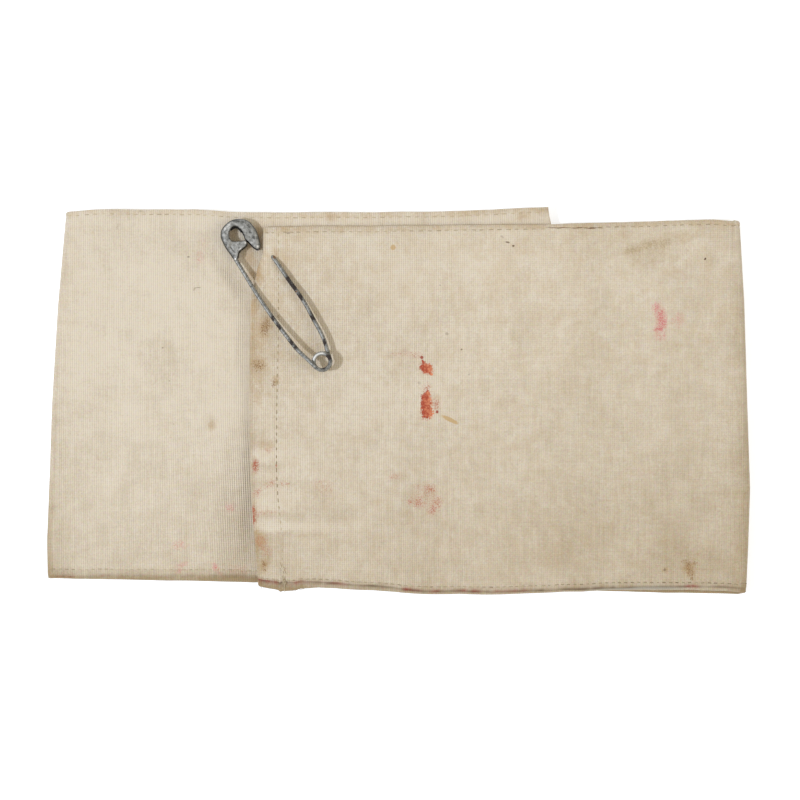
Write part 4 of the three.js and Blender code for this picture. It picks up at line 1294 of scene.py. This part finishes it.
# Painted shade: black under the leaf's edges and in the crimp
hollow = add_node("Math", (chart["hollow"], 3.0), operation="MULTIPLY", use_clamp=True)
rough = add_node("Math", (tarnish, 0.2, 0.62), operation="MULTIPLY_ADD")
feed(shader, {
    "Base Color": laid_over(finish, "#141312", hollow),
    "Metallic": add_node("Math", (hollow, -0.7, 0.7), operation="MULTIPLY_ADD"),
    "Roughness": summed(rough, ((painted_glint, -0.2),)),
    "Normal": add_node("Bump", {0: 0.9, "Distance": 0.12 * mm, "Height": cloudy(place, 1.4, 4.0, 0.7)}),
})
cap = new_piece("pin_cap_pressed", cap_points, cap_faces, cap_steel)

# The pocket between the cap's two leaves, cut out of its lower right side
pocket_outline = ((0.8, 2.75), (1.9, 4.25), (3.2, 3.35), (4.55, 1.25), (5.4, -0.9), (5.6, -2.1),
                  (5.2, -3.4), (3.8, -3.0), (2.85, -2.15), (2.15, -1.4), (1.45, -0.6), (1.1, 0.4),
                  (0.7, 1.5))
pocket_half = 0.72
pocket_count = len(pocket_outline)
pocket_points = [(x + cap_centre[0], y + cap_centre[1], cap_centre[2] + side * pocket_half)
                 for side in (-1, 1) for x, y in pocket_outline]
pocket_faces = [list(range(pocket_count)), list(range(2 * pocket_count - 1, pocket_count - 1, -1))]
for i in range(pocket_count):
    j = (i + 1) % pocket_count
    pocket_faces.append([i, i + pocket_count, j + pocket_count, j])
pocket = new_piece("pocket_cutter", pocket_points, pocket_faces, cap_steel)
cut = cap.modifiers.new("pocket", "BOOLEAN")
cut.operation = "DIFFERENCE"
cut.solver = "EXACT"
cut.object = pocket
bpy.context.view_layer.update()
cap_whole = cap.data
cap.data = bpy.data.meshes.new_from_object(cap.evaluated_get(bpy.context.evaluated_depsgraph_get()))
cap.data.name = "pin_cap_pressed"
cap.modifiers.clear()
bpy.data.objects.remove(pocket)
bpy.data.meshes.remove(cap_whole)
cap_final = np.empty(3 * len(cap.data.vertices))
cap.data.vertices.foreach_get("co", cap_final)
cap_final = cap_final.reshape(-1, 3) / mm
put_values(cap, "place", cap_final)
cap_plan = cap_final[:, :2] - np.array(cap_centre[:2])
cap_height = cap_final[:, 2] - cap_centre[2]
# Painted shade at the lower leaf's rim under the arch, the lobe and the tongue, and in the crimp's slit
# and at its end
hollow = np.zeros(len(cap_final))
for line, way, reach in hollow_cuts:
    hollow = np.maximum(hollow, 1 - ease(away_from(line, cap_plan), reach + 0.05, reach + 0.2))
hollow = hollow * (1 - ease(cap_height, 0.55, 0.8))
hollow = np.maximum(hollow, 0.3 * np.exp(-((away_from(crimp_slit, cap_plan) / 0.12) ** 2)))
crimp_end = np.array([(-0.15, -4.9), (-0.3, -5.8), (-0.62, -6.6)])
hollow = np.maximum(hollow, 0.4 * np.exp(-((away_from(crimp_end, cap_plan) / 0.16) ** 2)))
put_values(cap, "hollow", np.clip(hollow, 0, 1))
# Painted highlights, near white: at the upper left and on a few edges of the lobe, tongue and crimp
painted_highlight_spots = ((-2.5, 4.0, 1.0, 0.4, 35), (-3.5, 3.0, 0.9, 0.34, 55), (5.3, -2.0, 0.4, 0.3, 20),
                   (1.9, -1.0, 0.3, 0.5, -30), (0.5, -2.7, 0.6, 0.2, 45), (-1.0, -5.5, 0.35, 0.3, 0))
put_values(cap, "painted_highlight", blots(painted_highlight_spots, cap_plan[:, 0], cap_plan[:, 1]))
tarnished_spots = ((-0.6, 4.8, 1.6, 0.6, 0), (1.2, 4.7, 1.4, 0.6, -15), (2.7, 3.6, 1.2, 0.6, -45),
                   (3.2, 2.0, 0.7, 1.2, 0), (4.0, 0.4, 0.8, 0.9, 0), (-1.6, 0.2, 0.5, 0.7, 0),
                   (-3.2, -1.6, 0.5, 0.9, 20))
put_values(cap, "tarnished", np.clip(blots(tarnished_spots, cap_plan[:, 0], cap_plan[:, 1]), -0.3, 1))
# The folded rim is painted darker as shade, and more widely at the left, where its rounding reflects
# little light
from_rim = away_from(folded_edge, cap_plan)
at_left = ease(1.0 - cap_plan[:, 0], 0, 1.5)
rim = 0.75 * (1 - ease(from_rim, 0.1, 0.45)) + 0.3 * (1 - ease(from_rim, 0.3, 1.3)) * at_left
put_values(cap, "rim", rim)
cap.data.shade_smooth()
cap.data.set_sharp_from_angle(angle=math.radians(50))
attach(cap, "root")
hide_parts("pin_cap")

# The set: a white table top, a soft lamp at the left, a weaker one at the right, and white
# surroundings, as for a catalogue picture taken from straight above.
paper, tree, shader = new_material("white_table_top")
feed(shader, {
    "Base Color": (0.83, 0.885, 0.98, 1.0),
    "Roughness": 0.9,
    "Emission Color": (1.0, 1.0, 1.0, 1.0),
    "Emission Strength": 0.47,
})
# It has a window right under the band, so that the underside can be looked at from below, and it
# lies a hair lower than the cloth, clear of the stitches there
floor_z = -0.12
half_floor = 1500
window = ((-91.0, -44.0), (90.0, -47.5), (88.0, 44.0), (-85.0, 46.0))
floor_corners = ((-half_floor, -half_floor), (half_floor, -half_floor), (half_floor, half_floor),
                 (-half_floor, half_floor))
floor_points = [(x, y, floor_z) for x, y in floor_corners + window]
floor_faces = [(i, (i + 1) % 4, (i + 1) % 4 + 4, i + 4) for i in range(4)]
floor = new_piece("table_top", floor_points, floor_faces, paper)


def lamp(name, azimuth, elevation, distance, size, power, tint):
    """A round lamp that faces the band. Azimuth 0 is +X and 180 is -X, in degrees"""
    light = bpy.data.lights.new(name, "AREA")
    light.shape = "DISK"
    light.size = size
    light.energy = power
    light.color = tint
    made = bpy.data.objects.new(name, light)
    azimuth = math.radians(azimuth)
    elevation = math.radians(elevation)
    away = distance * math.cos(elevation)
    made.location = (away * math.cos(azimuth), away * math.sin(azimuth), distance * math.sin(elevation))
    made.rotation_euler = (0, math.pi / 2 - elevation, azimuth)
    bpy.context.scene.collection.objects.link(made)


lamp("left_lamp", 190, 48, 1.6, 0.14, 11.4, (0.955, 1.03, 1.19))
lamp("right_lamp", -8, 36, 1.6, 0.9, 4.6, (1.0, 0.98, 0.95))
world = bpy.data.worlds.new("studio")
world.use_nodes = True
feed(world.node_tree.nodes["Background"], {"Color": (1.0, 0.935, 0.82, 1.0), "Strength": 0.57})
bpy.context.scene.world = world
bpy.context.scene.view_settings.view_transform = "Standard"

# The camera looks straight down with a long lens, from where the cloth's level fills seen_width
lens = 100.0
sensor = 36.0
seen_width = 0.2206
cloth_level = 0.0018
lens_height = seen_width / 2 / (sensor / 2 / lens)
camera = bpy.data.objects.new("camera", bpy.data.cameras.new("camera"))
camera.data.lens = lens
camera.data.sensor_width = sensor
camera.location = (0.00041, 0.00023, cloth_level + lens_height)
bpy.context.scene.collection.objects.link(camera)
bpy.context.scene.camera = camera
